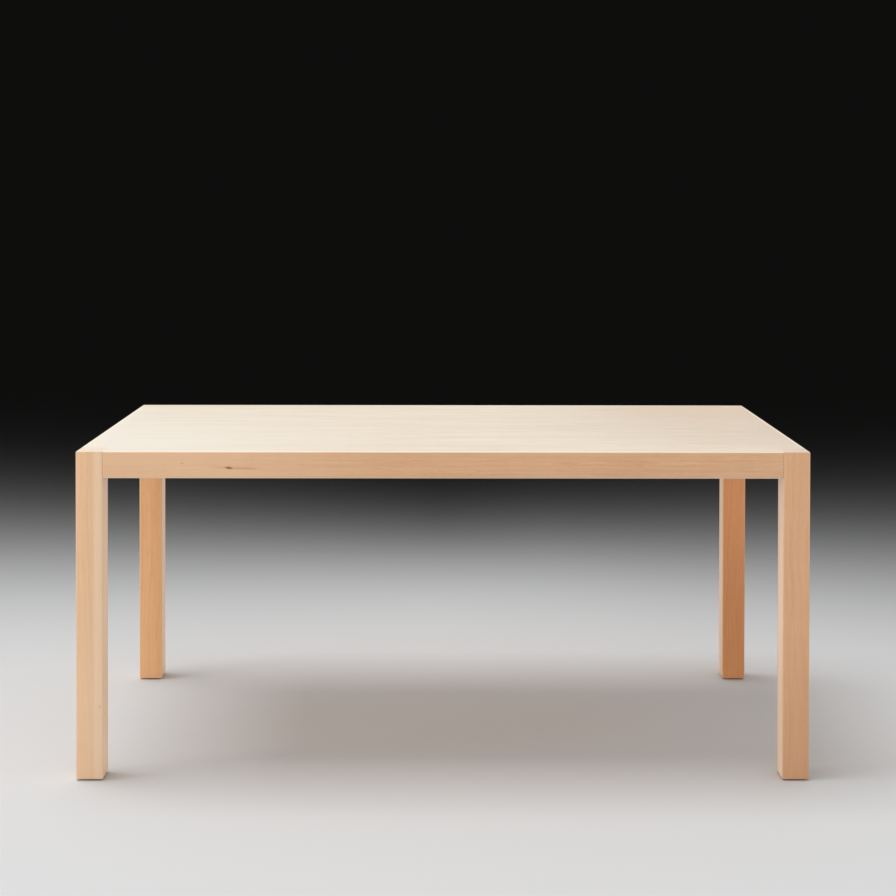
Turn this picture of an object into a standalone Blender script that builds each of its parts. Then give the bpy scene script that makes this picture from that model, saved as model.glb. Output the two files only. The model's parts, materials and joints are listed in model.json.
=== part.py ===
"""Banquet table with square corner legs, a mitre-edged top and levelling glides.

Metres, +Z up. The origin lies on the floor under the middle of the top, with the length along X.
The legs run up through notched corners, so that each leg's end is flush with the top. The top and
the four aprons meet in long splined mitres. A steel bracket and a hanger bolt draw each leg into
its corner, and a glide in each foot levels the table.
"""

import math

import bmesh
import bpy
from mathutils import Matrix, Vector

# Driving dimensions of the table
TABLE_LENGTH = 1.600
TABLE_DEPTH = 0.800
TABLE_HEIGHT = 0.720
LEG_WIDTH = 0.058
TOP_THICKNESS = 0.022
APRON_HEIGHT = 0.058
APRON_THICKNESS = 0.022
ARRIS = 0.001
FOOT_CHAMFER = 0.002

# Clearances
JOINT_GAP = 0.0003
HOLE_CLEARANCE = 0.0005
BORE_RUNOUT = 0.001

# Loose tongue in each mitre
SPLINE_WIDTH = 0.012
SPLINE_THICKNESS = 0.004
SPLINE_STOP = 0.040

# Battens under the top, at whole bays between the legs
BATTEN_BAYS = {"left": -1, "middle": 0, "right": 1}
BATTEN_WIDTH = 0.045
BATTEN_REVEAL = 0.012
BATTEN_EASE = 0.003
BATTEN_SCREW_INSET = 0.110

# Corner bracket of bent steel, with lips that hook into kerfs in the aprons
BRACKET_THICKNESS = 0.002
BRACKET_MARGIN = 0.003
BRACKET_FLANGE = 0.030
BRACKET_LIP = 0.005
BRACKET_BEND = 0.004
BEND_STEPS = 4
WEB_CLEARANCE = 0.008

# Hanger bolt, washer and nut that draw the leg in
BOLT_RADIUS = 0.004
BOLT_BITE = 0.038
BOLT_POINT = 0.005
BOLT_TAIL = 0.005
BOLT_CHAMFER = 0.001
BOLT_SEAT = 0.007
WASHER_RADIUS = 0.008
WASHER_THICKNESS = 0.0016
NUT_WIDTH = 0.013
NUT_HEIGHT = 0.0065

# Wood screws
SCREW_RADIUS = 0.002
SCREW_POINT = 0.004
SCREW_HEAD_RADIUS = 0.004
SCREW_HEAD_HEIGHT = 0.0025
SCREW_COVER = 0.008

# Levelling glide: a turning stud in a threaded insert, snapped into a pad
FLOOR_GAP = 0.003
PAD_RADIUS = 0.016
PAD_RECESS = 0.005
PAD_RECESS_CLEARANCE = 0.00075
PAD_FLOOR = 0.002
PAD_ROUND = 0.0012
GLIDE_TRAVEL = 0.010
STUD_RADIUS = 0.004
STUD_HEAD_RADIUS = 0.008
STUD_HEAD_HEIGHT = 0.003
STUD_CHAMFER = 0.001
KEY_WIDTH = 0.004
KEY_DEPTH = 0.002
INSERT_WALL = 0.002
INSERT_LENGTH = 0.018

# Facets on round and six-sided pieces
FINE_SIDES = 24
ROUND_SIDES = 16
SMALL_SIDES = 12
HEXAGON_SIDES = 6
ROUND_STEPS = 2
SMOOTH_ANGLE = math.radians(35.0)

# Sizes that follow from the driving dimensions
LEG_HALF = LEG_WIDTH / 2
LEG_INSET_X = TABLE_LENGTH / 2 - LEG_HALF
LEG_INSET_Y = TABLE_DEPTH / 2 - LEG_HALF
MITRE_HALF_GAP = JOINT_GAP / math.sqrt(2)
MITRE_DEPTH = min(TOP_THICKNESS, APRON_THICKNESS)
TOP_UNDERSIDE = TABLE_HEIGHT - TOP_THICKNESS
APRON_BOTTOM = TABLE_HEIGHT - APRON_HEIGHT
BRACKET_HEIGHT = TOP_UNDERSIDE - APRON_BOTTOM - 2 * BRACKET_MARGIN
BRACKET_MIDDLE = (TOP_UNDERSIDE + APRON_BOTTOM) / 2
PAD_HEIGHT = FLOOR_GAP + PAD_RECESS - JOINT_GAP
INSERT_RADIUS = STUD_RADIUS + JOINT_GAP + INSERT_WALL
INSERT_BOTTOM = FLOOR_GAP + PAD_RECESS
STUD_TOP = INSERT_BOTTOM + INSERT_LENGTH + GLIDE_TRAVEL

# Places in a corner's own frame: origin on the leg's axis, X and Y along the two aprons
APRON_INNER = APRON_THICKNESS - LEG_HALF
FLANGE_LINE = APRON_INNER + JOINT_GAP + BRACKET_THICKNESS / 2
WEB_ALONG = LEG_HALF * math.sqrt(2) + WEB_CLEARANCE + BRACKET_THICKNESS / 2
WEB_SUM = WEB_ALONG * math.sqrt(2)
FLANGE_START = WEB_SUM - FLANGE_LINE
LIP_AT = FLANGE_START + BRACKET_FLANGE
BRACKET_SCREW_AT = FLANGE_START + BRACKET_FLANGE / 2
SEAT_ALONG = LEG_HALF * math.sqrt(2) - BOLT_SEAT
BOLT_TIP_ALONG = SEAT_ALONG - BOLT_BITE
WASHER_ALONG = WEB_ALONG + BRACKET_THICKNESS / 2 + JOINT_GAP
NUT_ALONG = WASHER_ALONG + WASHER_THICKNESS + JOINT_GAP
BOLT_END_ALONG = NUT_ALONG + NUT_HEIGHT + BOLT_TAIL

# Each corner: its turn about Z, then the side that its X apron and its Y apron lie on
CORNERS = {
    "front_left": (0, "front", "left"),
    "front_right": (90, "right", "front"),
    "rear_right": (180, "rear", "right"),
    "rear_left": (270, "left", "rear"),
}
# Each side: its turn about Z
SIDES = {"front": 0, "right": 90, "rear": 180, "left": 270}

# Finishes: colour, roughness, metallic
FINISHES = {
    "maple_top": ((0.85, 0.74, 0.60), 0.42, 0.0),
    "maple_edge": ((0.68, 0.41, 0.24), 0.45, 0.0),
    "maple_leg": ((0.72, 0.45, 0.27), 0.45, 0.0),
    "birch_ply": ((0.70, 0.55, 0.38), 0.60, 0.0),
    "beech_batten": ((0.62, 0.42, 0.26), 0.60, 0.0),
    "zinc_steel": ((0.62, 0.63, 0.64), 0.35, 1.0),
    "black_plastic": ((0.03, 0.03, 0.03), 0.55, 0.0),
}


def clear_scene():
    """Removes every object that the scene starts with."""
    for item in list(bpy.data.objects):
        bpy.data.objects.remove(item, do_unlink=True)


def make_finishes():
    """One Principled material for each finish."""
    made = {}
    for name, (colour, roughness, metallic) in FINISHES.items():
        material = bpy.data.materials.new(name)
        material.use_nodes = True
        shader = material.node_tree.nodes["Principled BSDF"]
        shader.inputs["Base Color"].default_value = (*colour, 1.0)
        shader.inputs["Roughness"].default_value = roughness
        shader.inputs["Metallic"].default_value = metallic
        made[name] = material
    return made


def mesh_from(bm, name):
    """A mesh with its faces pointing out, from a bmesh that is then freed."""
    bmesh.ops.recalc_face_normals(bm, faces=bm.faces)
    mesh = bpy.data.meshes.new(name)
    bm.to_mesh(mesh)
    bm.free()
    return mesh


def loft(name, loops):
    """A closed solid through loops of 3-D points that match one to one, capped at both ends."""
    bm = bmesh.new()
    rings = [[bm.verts.new(point) for point in loop] for loop in loops]
    for lower, upper in zip(rings, rings[1:]):
        for i in range(len(lower)):
            j = (i + 1) % len(lower)
            bm.faces.new((lower[i], lower[j], upper[j], upper[i]))
    bm.faces.new(rings[0])
    bm.faces.new(rings[-1])
    return mesh_from(bm, name)


def extrude(name, outline, along):
    """A prism: a flat outline of 3-D points, swept by a vector."""
    return loft(name, [outline, [Vector(point) + Vector(along) for point in outline]])


def box(name, low, high):
    """A block between two corners."""
    outline = [(low[0], low[1], low[2]), (high[0], low[1], low[2]),
               (high[0], high[1], low[2]), (low[0], high[1], low[2])]
    return extrude(name, outline, (0, 0, high[2] - low[2]))


def turned(name, profile, sides):
    """A turned solid about Z. A profile that starts and ends on the axis is solid, any other a ring."""
    bm = bmesh.new()
    solid = profile[0][0] == 0 and profile[-1][0] == 0
    rings = []
    for radius, height in profile:
        if radius == 0:
            rings.append([bm.verts.new((0, 0, height))] * sides)
            continue
        angles = [2 * math.pi * i / sides for i in range(sides)]
        points = [(radius * math.cos(a), radius * math.sin(a), height) for a in angles]
        rings.append([bm.verts.new(point) for point in points])
    pairs = list(zip(rings, rings[1:]))
    if not solid:
        pairs.append((rings[-1], rings[0]))
    for lower, upper in pairs:
        for i in range(sides):
            j = (i + 1) % sides
            corners = dict.fromkeys((lower[i], lower[j], upper[j], upper[i]))
            bm.faces.new(tuple(corners))
    return mesh_from(bm, name)


def rod(name, radius, low, high, sides):
    """A plain round rod along Z."""
    return turned(name, [(0, low), (radius, low), (radius, high), (0, high)], sides)


def moved(mesh, matrix):
    """The same mesh after a transform of its points."""
    mesh.transform(matrix)
    return mesh


def boolean(mesh, operation, *tools):
    """A mesh after one exact Boolean for each tool mesh. The tools are used up."""
    target = bpy.data.objects.new(mesh.name + "_work", mesh)
    bpy.context.scene.collection.objects.link(target)
    helpers = []
    for tool in tools:
        helper = bpy.data.objects.new(tool.name, tool)
        helper.hide_render = True
        helper.display_type = "WIRE"
        bpy.context.scene.collection.objects.link(helper)
        helpers.append(helper)
        step = target.modifiers.new(tool.name, "BOOLEAN")
        step.operation = operation
        step.solver = "EXACT"
        step.object = helper
    graph = bpy.context.evaluated_depsgraph_get()
    result = bpy.data.meshes.new_from_object(target.evaluated_get(graph))
    result.name = mesh.name
    for item in [target, *helpers]:
        bpy.data.objects.remove(item, do_unlink=True)
    return result


def cut(mesh, *tools):
    """A mesh with the tools cut away."""
    return boolean(mesh, "DIFFERENCE", *tools)


def smooth(mesh):
    """Round walls shaded smooth, with the real edges kept sharp."""
    mesh.shade_smooth()
    mesh.set_sharp_from_angle(angle=SMOOTH_ANGLE)
    return mesh


def place(name, mesh, material, parent, location=(0, 0, 0), rotation=(0, 0, 0)):
    """One named piece of the table."""
    if not mesh.materials:
        mesh.materials.append(material)
    piece = bpy.data.objects.new(name, mesh)
    piece.location = location
    piece.rotation_euler = rotation
    piece.parent = parent
    bpy.context.scene.collection.objects.link(piece)
    return piece


def guide(name, parent=None, location=(0, 0, 0), turn=0):
    """An empty that carries pieces, turned about Z by whole degrees."""
    empty = bpy.data.objects.new(name, None)
    empty.location = location
    empty.rotation_euler = (0, 0, math.radians(turn))
    empty.parent = parent
    bpy.context.scene.collection.objects.link(empty)
    return empty


def chamfered_square(x0, y0, x1, y1, z, chamfer):
    """A rectangle with its corners cut off, as eight points at one height."""
    return [(x0 + chamfer, y0, z), (x1 - chamfer, y0, z), (x1, y0 + chamfer, z), (x1, y1 - chamfer, z),
            (x1 - chamfer, y1, z), (x0 + chamfer, y1, z), (x0, y1 - chamfer, z), (x0, y0 + chamfer, z)]


def spline_section(width, thickness):
    """The tongue's four corners as distance in from the apron's face and height."""
    middle = Vector((MITRE_DEPTH / 2, TABLE_HEIGHT - MITRE_DEPTH / 2))
    across = Vector((1, 1)).normalized() * width / 2
    along = Vector((1, -1)).normalized() * thickness / 2
    near, far = middle - across, middle + across
    return [near - along, far - along, far + along, near + along]


def spline_mesh(name, side_length, grow):
    """The tongue along one side, in that side's frame. Grown, it is its own groove cutter."""
    half = side_length / 2 - SPLINE_STOP + grow
    section = spline_section(SPLINE_WIDTH + 2 * grow, SPLINE_THICKNESS + 2 * grow)
    outline = [(-half, inset, height) for inset, height in section]
    return extrude(name, outline, (2 * half, 0, 0))


def side_length(side):
    """Length of the apron between the two legs of a side."""
    whole = TABLE_LENGTH if side in ("front", "rear") else TABLE_DEPTH
    return whole - 2 * LEG_WIDTH - 2 * JOINT_GAP


def side_matrix(side):
    """From a side's frame, with X along it and Y inwards from its outer face, to the table's."""
    half = TABLE_DEPTH / 2 if side in ("front", "rear") else TABLE_LENGTH / 2
    turn = Matrix.Rotation(math.radians(SIDES[side]), 4, "Z")
    return turn @ Matrix.Translation((0, -half, 0))


def notched_outline(inset, z):
    """The top's outline with a square notch at each leg, its four long edges drawn in by inset."""
    notch_x = TABLE_LENGTH / 2 - LEG_WIDTH - JOINT_GAP
    notch_y = TABLE_DEPTH / 2 - LEG_WIDTH - JOINT_GAP
    edge_x = TABLE_LENGTH / 2 - inset
    edge_y = TABLE_DEPTH / 2 - inset
    quarter = [(notch_x, -edge_y), (notch_x, -notch_y), (edge_x, -notch_y)]
    right = quarter + [(x, -y) for x, y in reversed(quarter)]
    left = [(-x, y) for x, y in reversed(right)]
    return [(x, y, z) for x, y in right + left]


def batten_screw_places():
    """Where the screws rise through the battens, as name and plan position."""
    bay = side_length("front") / (len(BATTEN_BAYS) + 1)
    reach = TABLE_DEPTH / 2 - APRON_THICKNESS - BATTEN_SCREW_INSET
    places = {}
    for batten, bays in BATTEN_BAYS.items():
        places[batten] = {"front": (bays * bay, -reach), "rear": (bays * bay, reach)}
    return places


def top_mesh():
    """The top: notched at the legs, mitred underneath on four sides, grooved for the tongues."""
    arris_drop = (ARRIS - MITRE_HALF_GAP) / 2
    levels = [
        (TOP_THICKNESS + MITRE_HALF_GAP, TOP_UNDERSIDE),
        (arris_drop + MITRE_HALF_GAP, TABLE_HEIGHT - arris_drop),
        (ARRIS, TABLE_HEIGHT),
    ]
    mesh = loft("table_top", [notched_outline(inset, z) for inset, z in levels])
    cutters = []
    for side in SIDES:
        groove = spline_mesh("top_groove", side_length(side), JOINT_GAP)
        cutters.append(moved(groove, side_matrix(side)))
    for screws in batten_screw_places().values():
        for x, y in screws.values():
            pilot = rod("top_pilot", SCREW_RADIUS + JOINT_GAP, TOP_UNDERSIDE - BORE_RUNOUT,
                        TABLE_HEIGHT - SCREW_COVER + JOINT_GAP, SMALL_SIDES)
            cutters.append(moved(pilot, Matrix.Translation((x, y, 0))))
    return cut(mesh, *cutters)


def apron_section():
    """The apron's section as distance in from its outer face and height, mitred at the top."""
    arris_drop = (ARRIS + MITRE_HALF_GAP) / 2
    section = [
        (ARRIS, APRON_BOTTOM),
        (0, APRON_BOTTOM + ARRIS),
        (0, TABLE_HEIGHT - ARRIS),
        (arris_drop - MITRE_HALF_GAP, TABLE_HEIGHT - arris_drop),
    ]
    if APRON_THICKNESS > TOP_THICKNESS:
        shelf = TOP_UNDERSIDE - JOINT_GAP
        section.append((TABLE_HEIGHT - shelf - MITRE_HALF_GAP, shelf))
        section.append((APRON_THICKNESS, shelf))
    else:
        section.append((APRON_THICKNESS, TABLE_HEIGHT - APRON_THICKNESS - MITRE_HALF_GAP))
    section.append((APRON_THICKNESS, APRON_BOTTOM + ARRIS))
    section.append((APRON_THICKNESS - ARRIS, APRON_BOTTOM))
    return section


def apron_mesh(name, length):
    """One apron, with its groove, and at each end a kerf and a pilot for the corner bracket."""
    outline = [(-length / 2, inset, height) for inset, height in apron_section()]
    mesh = extrude(name, outline, (length, 0, 0))
    cutters = [spline_mesh("apron_groove", length, JOINT_GAP)]
    leg_axis = length / 2 + JOINT_GAP + LEG_HALF
    kerf_half = BRACKET_THICKNESS / 2 + JOINT_GAP
    kerf_top = BRACKET_MIDDLE + BRACKET_HEIGHT / 2 + JOINT_GAP
    for end in (-1, 1):
        lip_at = end * (leg_axis - LIP_AT)
        cutters.append(box(
            "apron_kerf",
            (lip_at - kerf_half, APRON_THICKNESS - BRACKET_LIP - JOINT_GAP, APRON_BOTTOM - BORE_RUNOUT),
            (lip_at + kerf_half, APRON_THICKNESS + BORE_RUNOUT, kerf_top)))
        pilot = rod("apron_pilot", SCREW_RADIUS + JOINT_GAP, SCREW_COVER - JOINT_GAP,
                    APRON_THICKNESS + BORE_RUNOUT, SMALL_SIDES)
        moved(pilot, Matrix.Rotation(-math.pi / 2, 4, "X"))
        screw_at = end * (leg_axis - BRACKET_SCREW_AT)
        cutters.append(moved(pilot, Matrix.Translation((screw_at, 0, BRACKET_MIDDLE))))
    return cut(mesh, *cutters)


def diagonal():
    """Turns a piece made along Z to lie along a corner's diagonal at the bracket's mid height."""
    lie_down = Matrix.Rotation(math.pi / 2, 4, "Y")
    to_diagonal = Matrix.Rotation(math.pi / 4, 4, "Z")
    return Matrix.Translation((0, 0, BRACKET_MIDDLE)) @ to_diagonal @ lie_down


def leg_mesh():
    """One leg in its corner's frame, from its chamfered foot to its end grain at the top."""
    levels = [
        chamfered_square(FOOT_CHAMFER - LEG_HALF, FOOT_CHAMFER - LEG_HALF, LEG_HALF - FOOT_CHAMFER,
                         LEG_HALF - FOOT_CHAMFER, FLOOR_GAP, ARRIS),
        chamfered_square(-LEG_HALF, -LEG_HALF, LEG_HALF, LEG_HALF, FLOOR_GAP + FOOT_CHAMFER, ARRIS),
        chamfered_square(-LEG_HALF, -LEG_HALF, LEG_HALF, LEG_HALF, TABLE_HEIGHT - ARRIS, ARRIS),
        chamfered_square(ARRIS - LEG_HALF, ARRIS - LEG_HALF, LEG_HALF, LEG_HALF, TABLE_HEIGHT, ARRIS),
    ]
    mesh = loft("leg", levels)
    outside = LEG_HALF + BORE_RUNOUT
    seat_sum = SEAT_ALONG * math.sqrt(2)
    low = BRACKET_MIDDLE - BRACKET_HEIGHT / 2
    seat = extrude("leg_seat", [(outside, seat_sum - outside, low), (outside, outside, low),
                                (seat_sum - outside, outside, low)], (0, 0, BRACKET_HEIGHT))
    bolt_bore = rod("leg_bolt_bore", BOLT_RADIUS + JOINT_GAP, BOLT_TIP_ALONG - JOINT_GAP,
                    WEB_ALONG, SMALL_SIDES)
    moved(bolt_bore, diagonal())
    stud_bore = STUD_RADIUS + JOINT_GAP
    insert_bore = INSERT_RADIUS + JOINT_GAP
    insert_end = INSERT_BOTTOM + INSERT_LENGTH + JOINT_GAP
    recess = PAD_RADIUS + PAD_RECESS_CLEARANCE
    glide_bore = turned("leg_glide_bore", [
        (0, FLOOR_GAP - BORE_RUNOUT), (recess, FLOOR_GAP - BORE_RUNOUT), (recess, INSERT_BOTTOM),
        (insert_bore, INSERT_BOTTOM), (insert_bore, insert_end), (stud_bore, insert_end),
        (stud_bore, STUD_TOP + BORE_RUNOUT), (0, STUD_TOP + BORE_RUNOUT)], FINE_SIDES)
    return cut(mesh, seat, bolt_bore, glide_bore)


def bend(before, corner, after, radius):
    """Points of the arc that rounds one corner of a bent strip."""
    into = (corner - before).normalized()
    out = (after - corner).normalized()
    turn = into.angle(out)
    setback = radius * math.tan(turn / 2)
    start = corner - into * setback
    towards = (out - into).normalized()
    centre = corner + towards * radius / math.cos(turn / 2)
    spoke = start - centre
    swing = math.copysign(turn, into.x * out.y - into.y * out.x)
    return [centre + Matrix.Rotation(swing * i / BEND_STEPS, 2) @ spoke for i in range(BEND_STEPS + 1)]


def strip_outline(line, thickness):
    """The outline of a bent strip in plan: its middle line thickened to both sides, mitred at bends."""
    sides = ([], [])
    for i, point in enumerate(line):
        into = (point - line[i - 1]).normalized() if i else (line[1] - point).normalized()
        out = (line[i + 1] - point).normalized() if i + 1 < len(line) else into
        normal = Vector((-into.y - out.y, into.x + out.x)).normalized()
        reach = thickness / 2 / normal.dot(Vector((-into.y, into.x)))
        sides[0].append(point + normal * reach)
        sides[1].append(point - normal * reach)
    return sides[0] + sides[1][::-1]


def bracket_mesh():
    """The corner bracket: a web across the corner, two flanges on the aprons and two hooked lips."""
    lip_end = APRON_INNER - BRACKET_LIP
    lip_x, flange_x = Vector((LIP_AT, lip_end)), Vector((LIP_AT, FLANGE_LINE))
    web_x, web_y = Vector((FLANGE_START, FLANGE_LINE)), Vector((FLANGE_LINE, FLANGE_START))
    flange_y, lip_y = Vector((FLANGE_LINE, LIP_AT)), Vector((lip_end, LIP_AT))
    line = [lip_x, flange_x]
    line += bend(flange_x, web_x, web_y, BRACKET_BEND)
    line += bend(web_x, web_y, flange_y, BRACKET_BEND)
    line += [flange_y, lip_y]
    low = BRACKET_MIDDLE - BRACKET_HEIGHT / 2
    outline = [(x, y, low) for x, y in strip_outline(line, BRACKET_THICKNESS)]
    mesh = extrude("bracket", outline, (0, 0, BRACKET_HEIGHT))
    bolt_hole = rod("bracket_bolt_hole", BOLT_RADIUS + HOLE_CLEARANCE, WEB_ALONG - BRACKET_THICKNESS,
                    WEB_ALONG + BRACKET_THICKNESS, SMALL_SIDES)
    cutters = [moved(bolt_hole, diagonal())]
    for matrix in (screw_matrix("x"), screw_matrix("y")):
        hole = rod("bracket_screw_hole", SCREW_RADIUS + HOLE_CLEARANCE, -BRACKET_THICKNESS,
                   2 * BRACKET_THICKNESS, SMALL_SIDES)
        cutters.append(moved(hole, matrix))
    return cut(mesh, *cutters)


def screw_matrix(apron):
    """Stands a screw on the inner face of a corner's flange, pointing into its X or its Y apron."""
    seat = FLANGE_LINE + BRACKET_THICKNESS / 2 + JOINT_GAP
    point_out = Matrix.Rotation(math.pi / 2, 4, "X")
    if apron == "x":
        return Matrix.Translation((BRACKET_SCREW_AT, seat, BRACKET_MIDDLE)) @ point_out
    swung = Matrix.Rotation(-math.pi / 2, 4, "Z") @ point_out
    return Matrix.Translation((seat, BRACKET_SCREW_AT, BRACKET_MIDDLE)) @ swung


def screw_mesh(name, through, bite):
    """A pan-head wood screw along +Z, seated at zero, through one piece and into the next."""
    tip = through + bite
    head_edge = SCREW_HEAD_HEIGHT / 2
    return smooth(turned(name, [
        (0, -SCREW_HEAD_HEIGHT), (SCREW_HEAD_RADIUS - head_edge, -SCREW_HEAD_HEIGHT),
        (SCREW_HEAD_RADIUS, -head_edge), (SCREW_HEAD_RADIUS, 0), (SCREW_RADIUS, 0),
        (SCREW_RADIUS, tip - SCREW_POINT), (0, tip)], SMALL_SIDES))


def bolt_mesh():
    """The hanger bolt along Z, from its point in the leg to its tail past the nut."""
    return smooth(turned("hanger_bolt", [
        (0, BOLT_TIP_ALONG), (BOLT_RADIUS, BOLT_TIP_ALONG + BOLT_POINT),
        (BOLT_RADIUS, BOLT_END_ALONG - BOLT_CHAMFER), (BOLT_RADIUS - BOLT_CHAMFER, BOLT_END_ALONG),
        (0, BOLT_END_ALONG)], SMALL_SIDES))


def washer_mesh():
    """The washer under the nut."""
    bore = BOLT_RADIUS + HOLE_CLEARANCE
    top = WASHER_ALONG + WASHER_THICKNESS
    return smooth(turned("washer", [(bore, WASHER_ALONG), (WASHER_RADIUS, WASHER_ALONG),
                                    (WASHER_RADIUS, top), (bore, top)], ROUND_SIDES))


def nut_mesh():
    """The hexagon nut, with its corners turned down at both ends."""
    corner = NUT_WIDTH / math.sqrt(3)
    top = NUT_ALONG + NUT_HEIGHT
    prism = rod("nut", corner, NUT_ALONG, top, HEXAGON_SIDES)
    flat = NUT_WIDTH / 2
    drop = corner - flat
    barrel = turned("nut_barrel", [
        (0, NUT_ALONG), (flat, NUT_ALONG), (corner + drop, NUT_ALONG + drop),
        (corner + drop, top - drop), (flat, top), (0, top)], ROUND_SIDES)
    bore_radius = BOLT_RADIUS + JOINT_GAP
    bore = rod("nut_bore", bore_radius, NUT_ALONG - BORE_RUNOUT, top + BORE_RUNOUT, SMALL_SIDES)
    return cut(boolean(prism, "INTERSECT", barrel), bore)


def batten_mesh():
    """One batten across the underside, eased along its lower edges, with two screw holes."""
    half = BATTEN_WIDTH / 2
    low = APRON_BOTTOM + BATTEN_REVEAL
    high = TOP_UNDERSIDE - JOINT_GAP
    reach = TABLE_DEPTH / 2 - APRON_THICKNESS - JOINT_GAP
    eased = low + BATTEN_EASE
    foot = half - BATTEN_EASE
    section = [(half, high), (half, eased), (foot, low), (-foot, low), (-half, eased), (-half, high)]
    mesh = extrude("batten", [(x, -reach, z) for x, z in section], (0, 2 * reach, 0))
    hole_radius = SCREW_RADIUS + HOLE_CLEARANCE
    cutters = []
    for _, y in batten_screw_places()["middle"].values():
        hole = rod("batten_hole", hole_radius, low - BORE_RUNOUT, high + BORE_RUNOUT, SMALL_SIDES)
        cutters.append(moved(hole, Matrix.Translation((0, y, 0))))
    return cut(mesh, *cutters)


def insert_mesh():
    """The threaded insert in the foot, as a plain sleeve from the floor of the pad's recess."""
    bore = STUD_RADIUS + JOINT_GAP
    top = INSERT_BOTTOM + INSERT_LENGTH
    return smooth(turned("insert", [(bore, INSERT_BOTTOM), (INSERT_RADIUS, INSERT_BOTTOM),
                                    (INSERT_RADIUS, top), (bore, top)], ROUND_SIDES))


def stud_mesh():
    """The glide's stud: a headed screw with a hexagon socket in the underside of its head."""
    head_low = PAD_FLOOR + JOINT_GAP
    head_high = head_low + STUD_HEAD_HEIGHT
    mesh = turned("glide_stud", [
        (0, head_low), (STUD_HEAD_RADIUS, head_low), (STUD_HEAD_RADIUS, head_high),
        (STUD_RADIUS, head_high), (STUD_RADIUS, STUD_TOP - STUD_CHAMFER),
        (STUD_RADIUS - STUD_CHAMFER, STUD_TOP), (0, STUD_TOP)], ROUND_SIDES)
    corner = KEY_WIDTH / math.sqrt(3)
    socket = rod("key_socket", corner, head_low - BORE_RUNOUT, head_low + KEY_DEPTH, HEXAGON_SIDES)
    return smooth(cut(mesh, socket))


def pad_mesh():
    """The glide's pad: a round foot with a key hole below, snapped round the stud's head."""
    head_pocket = STUD_HEAD_RADIUS + JOINT_GAP
    pocket_top = PAD_FLOOR + STUD_HEAD_HEIGHT + 2 * JOINT_GAP
    neck = STUD_RADIUS + JOINT_GAP
    key_hole = KEY_WIDTH / math.sqrt(3) + HOLE_CLEARANCE
    quarter = [math.pi / 2 * i / ROUND_STEPS for i in range(ROUND_STEPS + 1)]
    rim = [(PAD_RADIUS - PAD_ROUND * (1 - math.sin(a)), PAD_ROUND * (1 - math.cos(a))) for a in quarter]
    return smooth(turned("glide_pad", [
        (key_hole, 0), *rim, (PAD_RADIUS, PAD_HEIGHT), (neck, PAD_HEIGHT), (neck, pocket_top),
        (head_pocket, pocket_top), (head_pocket, PAD_FLOOR), (key_hole, PAD_FLOOR)], FINE_SIDES))


def build_top_and_aprons(root, finishes):
    """The top, the four aprons and the tongues that join them."""
    place("table_top", top_mesh(), finishes["maple_top"], root)
    for side in SIDES:
        length = side_length(side)
        location, rotation, _ = side_matrix(side).decompose()
        at = {"parent": root, "location": location, "rotation": rotation.to_euler()}
        place(side + "_apron", apron_mesh(side + "_apron", length), finishes["maple_edge"], **at)
        place(side + "_spline", spline_mesh(side + "_spline", length, 0), finishes["birch_ply"], **at)


def build_battens(root, finishes):
    """The battens under the top and the screws that hold them."""
    batten = batten_mesh()
    low = APRON_BOTTOM + BATTEN_REVEAL - JOINT_GAP
    screw = screw_mesh("batten_screw", TOP_UNDERSIDE - low, TOP_THICKNESS - SCREW_COVER)
    for name, screws in batten_screw_places().items():
        x = screws["front"][0]
        place(name + "_batten", batten, finishes["beech_batten"], root, (x, 0, 0))
        for end, spot in screws.items():
            place(f"{name}_batten_screw_{end}", screw, finishes["zinc_steel"], root, (*spot, low))


def build_corners(root, finishes):
    """Four corners, each a turned copy: leg, bracket, bolt, washer, nut, screws and glide."""
    along, tilt, _ = diagonal().decompose()
    on_diagonal = {"location": along, "rotation": tilt.to_euler()}
    flange = JOINT_GAP + BRACKET_THICKNESS + JOINT_GAP
    screw = screw_mesh("bracket_screw", flange, APRON_THICKNESS - SCREW_COVER)
    steel = finishes["zinc_steel"]
    shared = {
        "leg": (leg_mesh(), finishes["maple_leg"], {}),
        "bracket": (bracket_mesh(), steel, {}),
        "hanger_bolt": (bolt_mesh(), steel, on_diagonal),
        "washer": (washer_mesh(), steel, on_diagonal),
        "nut": (nut_mesh(), steel, on_diagonal),
        "insert": (insert_mesh(), steel, {}),
        "glide_stud": (stud_mesh(), steel, {}),
        "glide_pad": (pad_mesh(), finishes["black_plastic"], {}),
    }
    for corner, (turn, x_side, y_side) in CORNERS.items():
        x = -LEG_INSET_X if "left" in corner else LEG_INSET_X
        y = -LEG_INSET_Y if "front" in corner else LEG_INSET_Y
        frame = guide(corner + "_corner", root, (x, y, 0), turn)
        for piece, (mesh, material, at) in shared.items():
            place(f"{corner}_{piece}", mesh, material, frame, **at)
        for apron, side in (("x", x_side), ("y", y_side)):
            location, rotation, _ = screw_matrix(apron).decompose()
            place(f"{corner}_bracket_screw_{side}", screw, steel, frame, location, rotation.to_euler())


def main():
    """Builds the whole table."""
    clear_scene()
    finishes = make_finishes()
    root = guide("banquet_table")
    build_top_and_aprons(root, finishes)
    build_battens(root, finishes)
    build_corners(root, finishes)


main()
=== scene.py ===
"""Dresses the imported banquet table: eased and finished boards, fine fixings, glides, studio and camera.

Metres, +Z up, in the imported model's own frame. Each dressed piece rides on the body of the node that
it stands for. Wood finishes are solid patterns on Object coordinates, so rings and fibres run through
each board from its faces to its end grain.
"""

import json
import logging
import math
from collections.abc import Callable, Iterator, Mapping, Sequence
from contextlib import contextmanager
from dataclasses import dataclass
from enum import Enum
from itertools import product
from typing import Any

import bmesh
import bpy
from mathutils import Matrix, Vector

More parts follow.
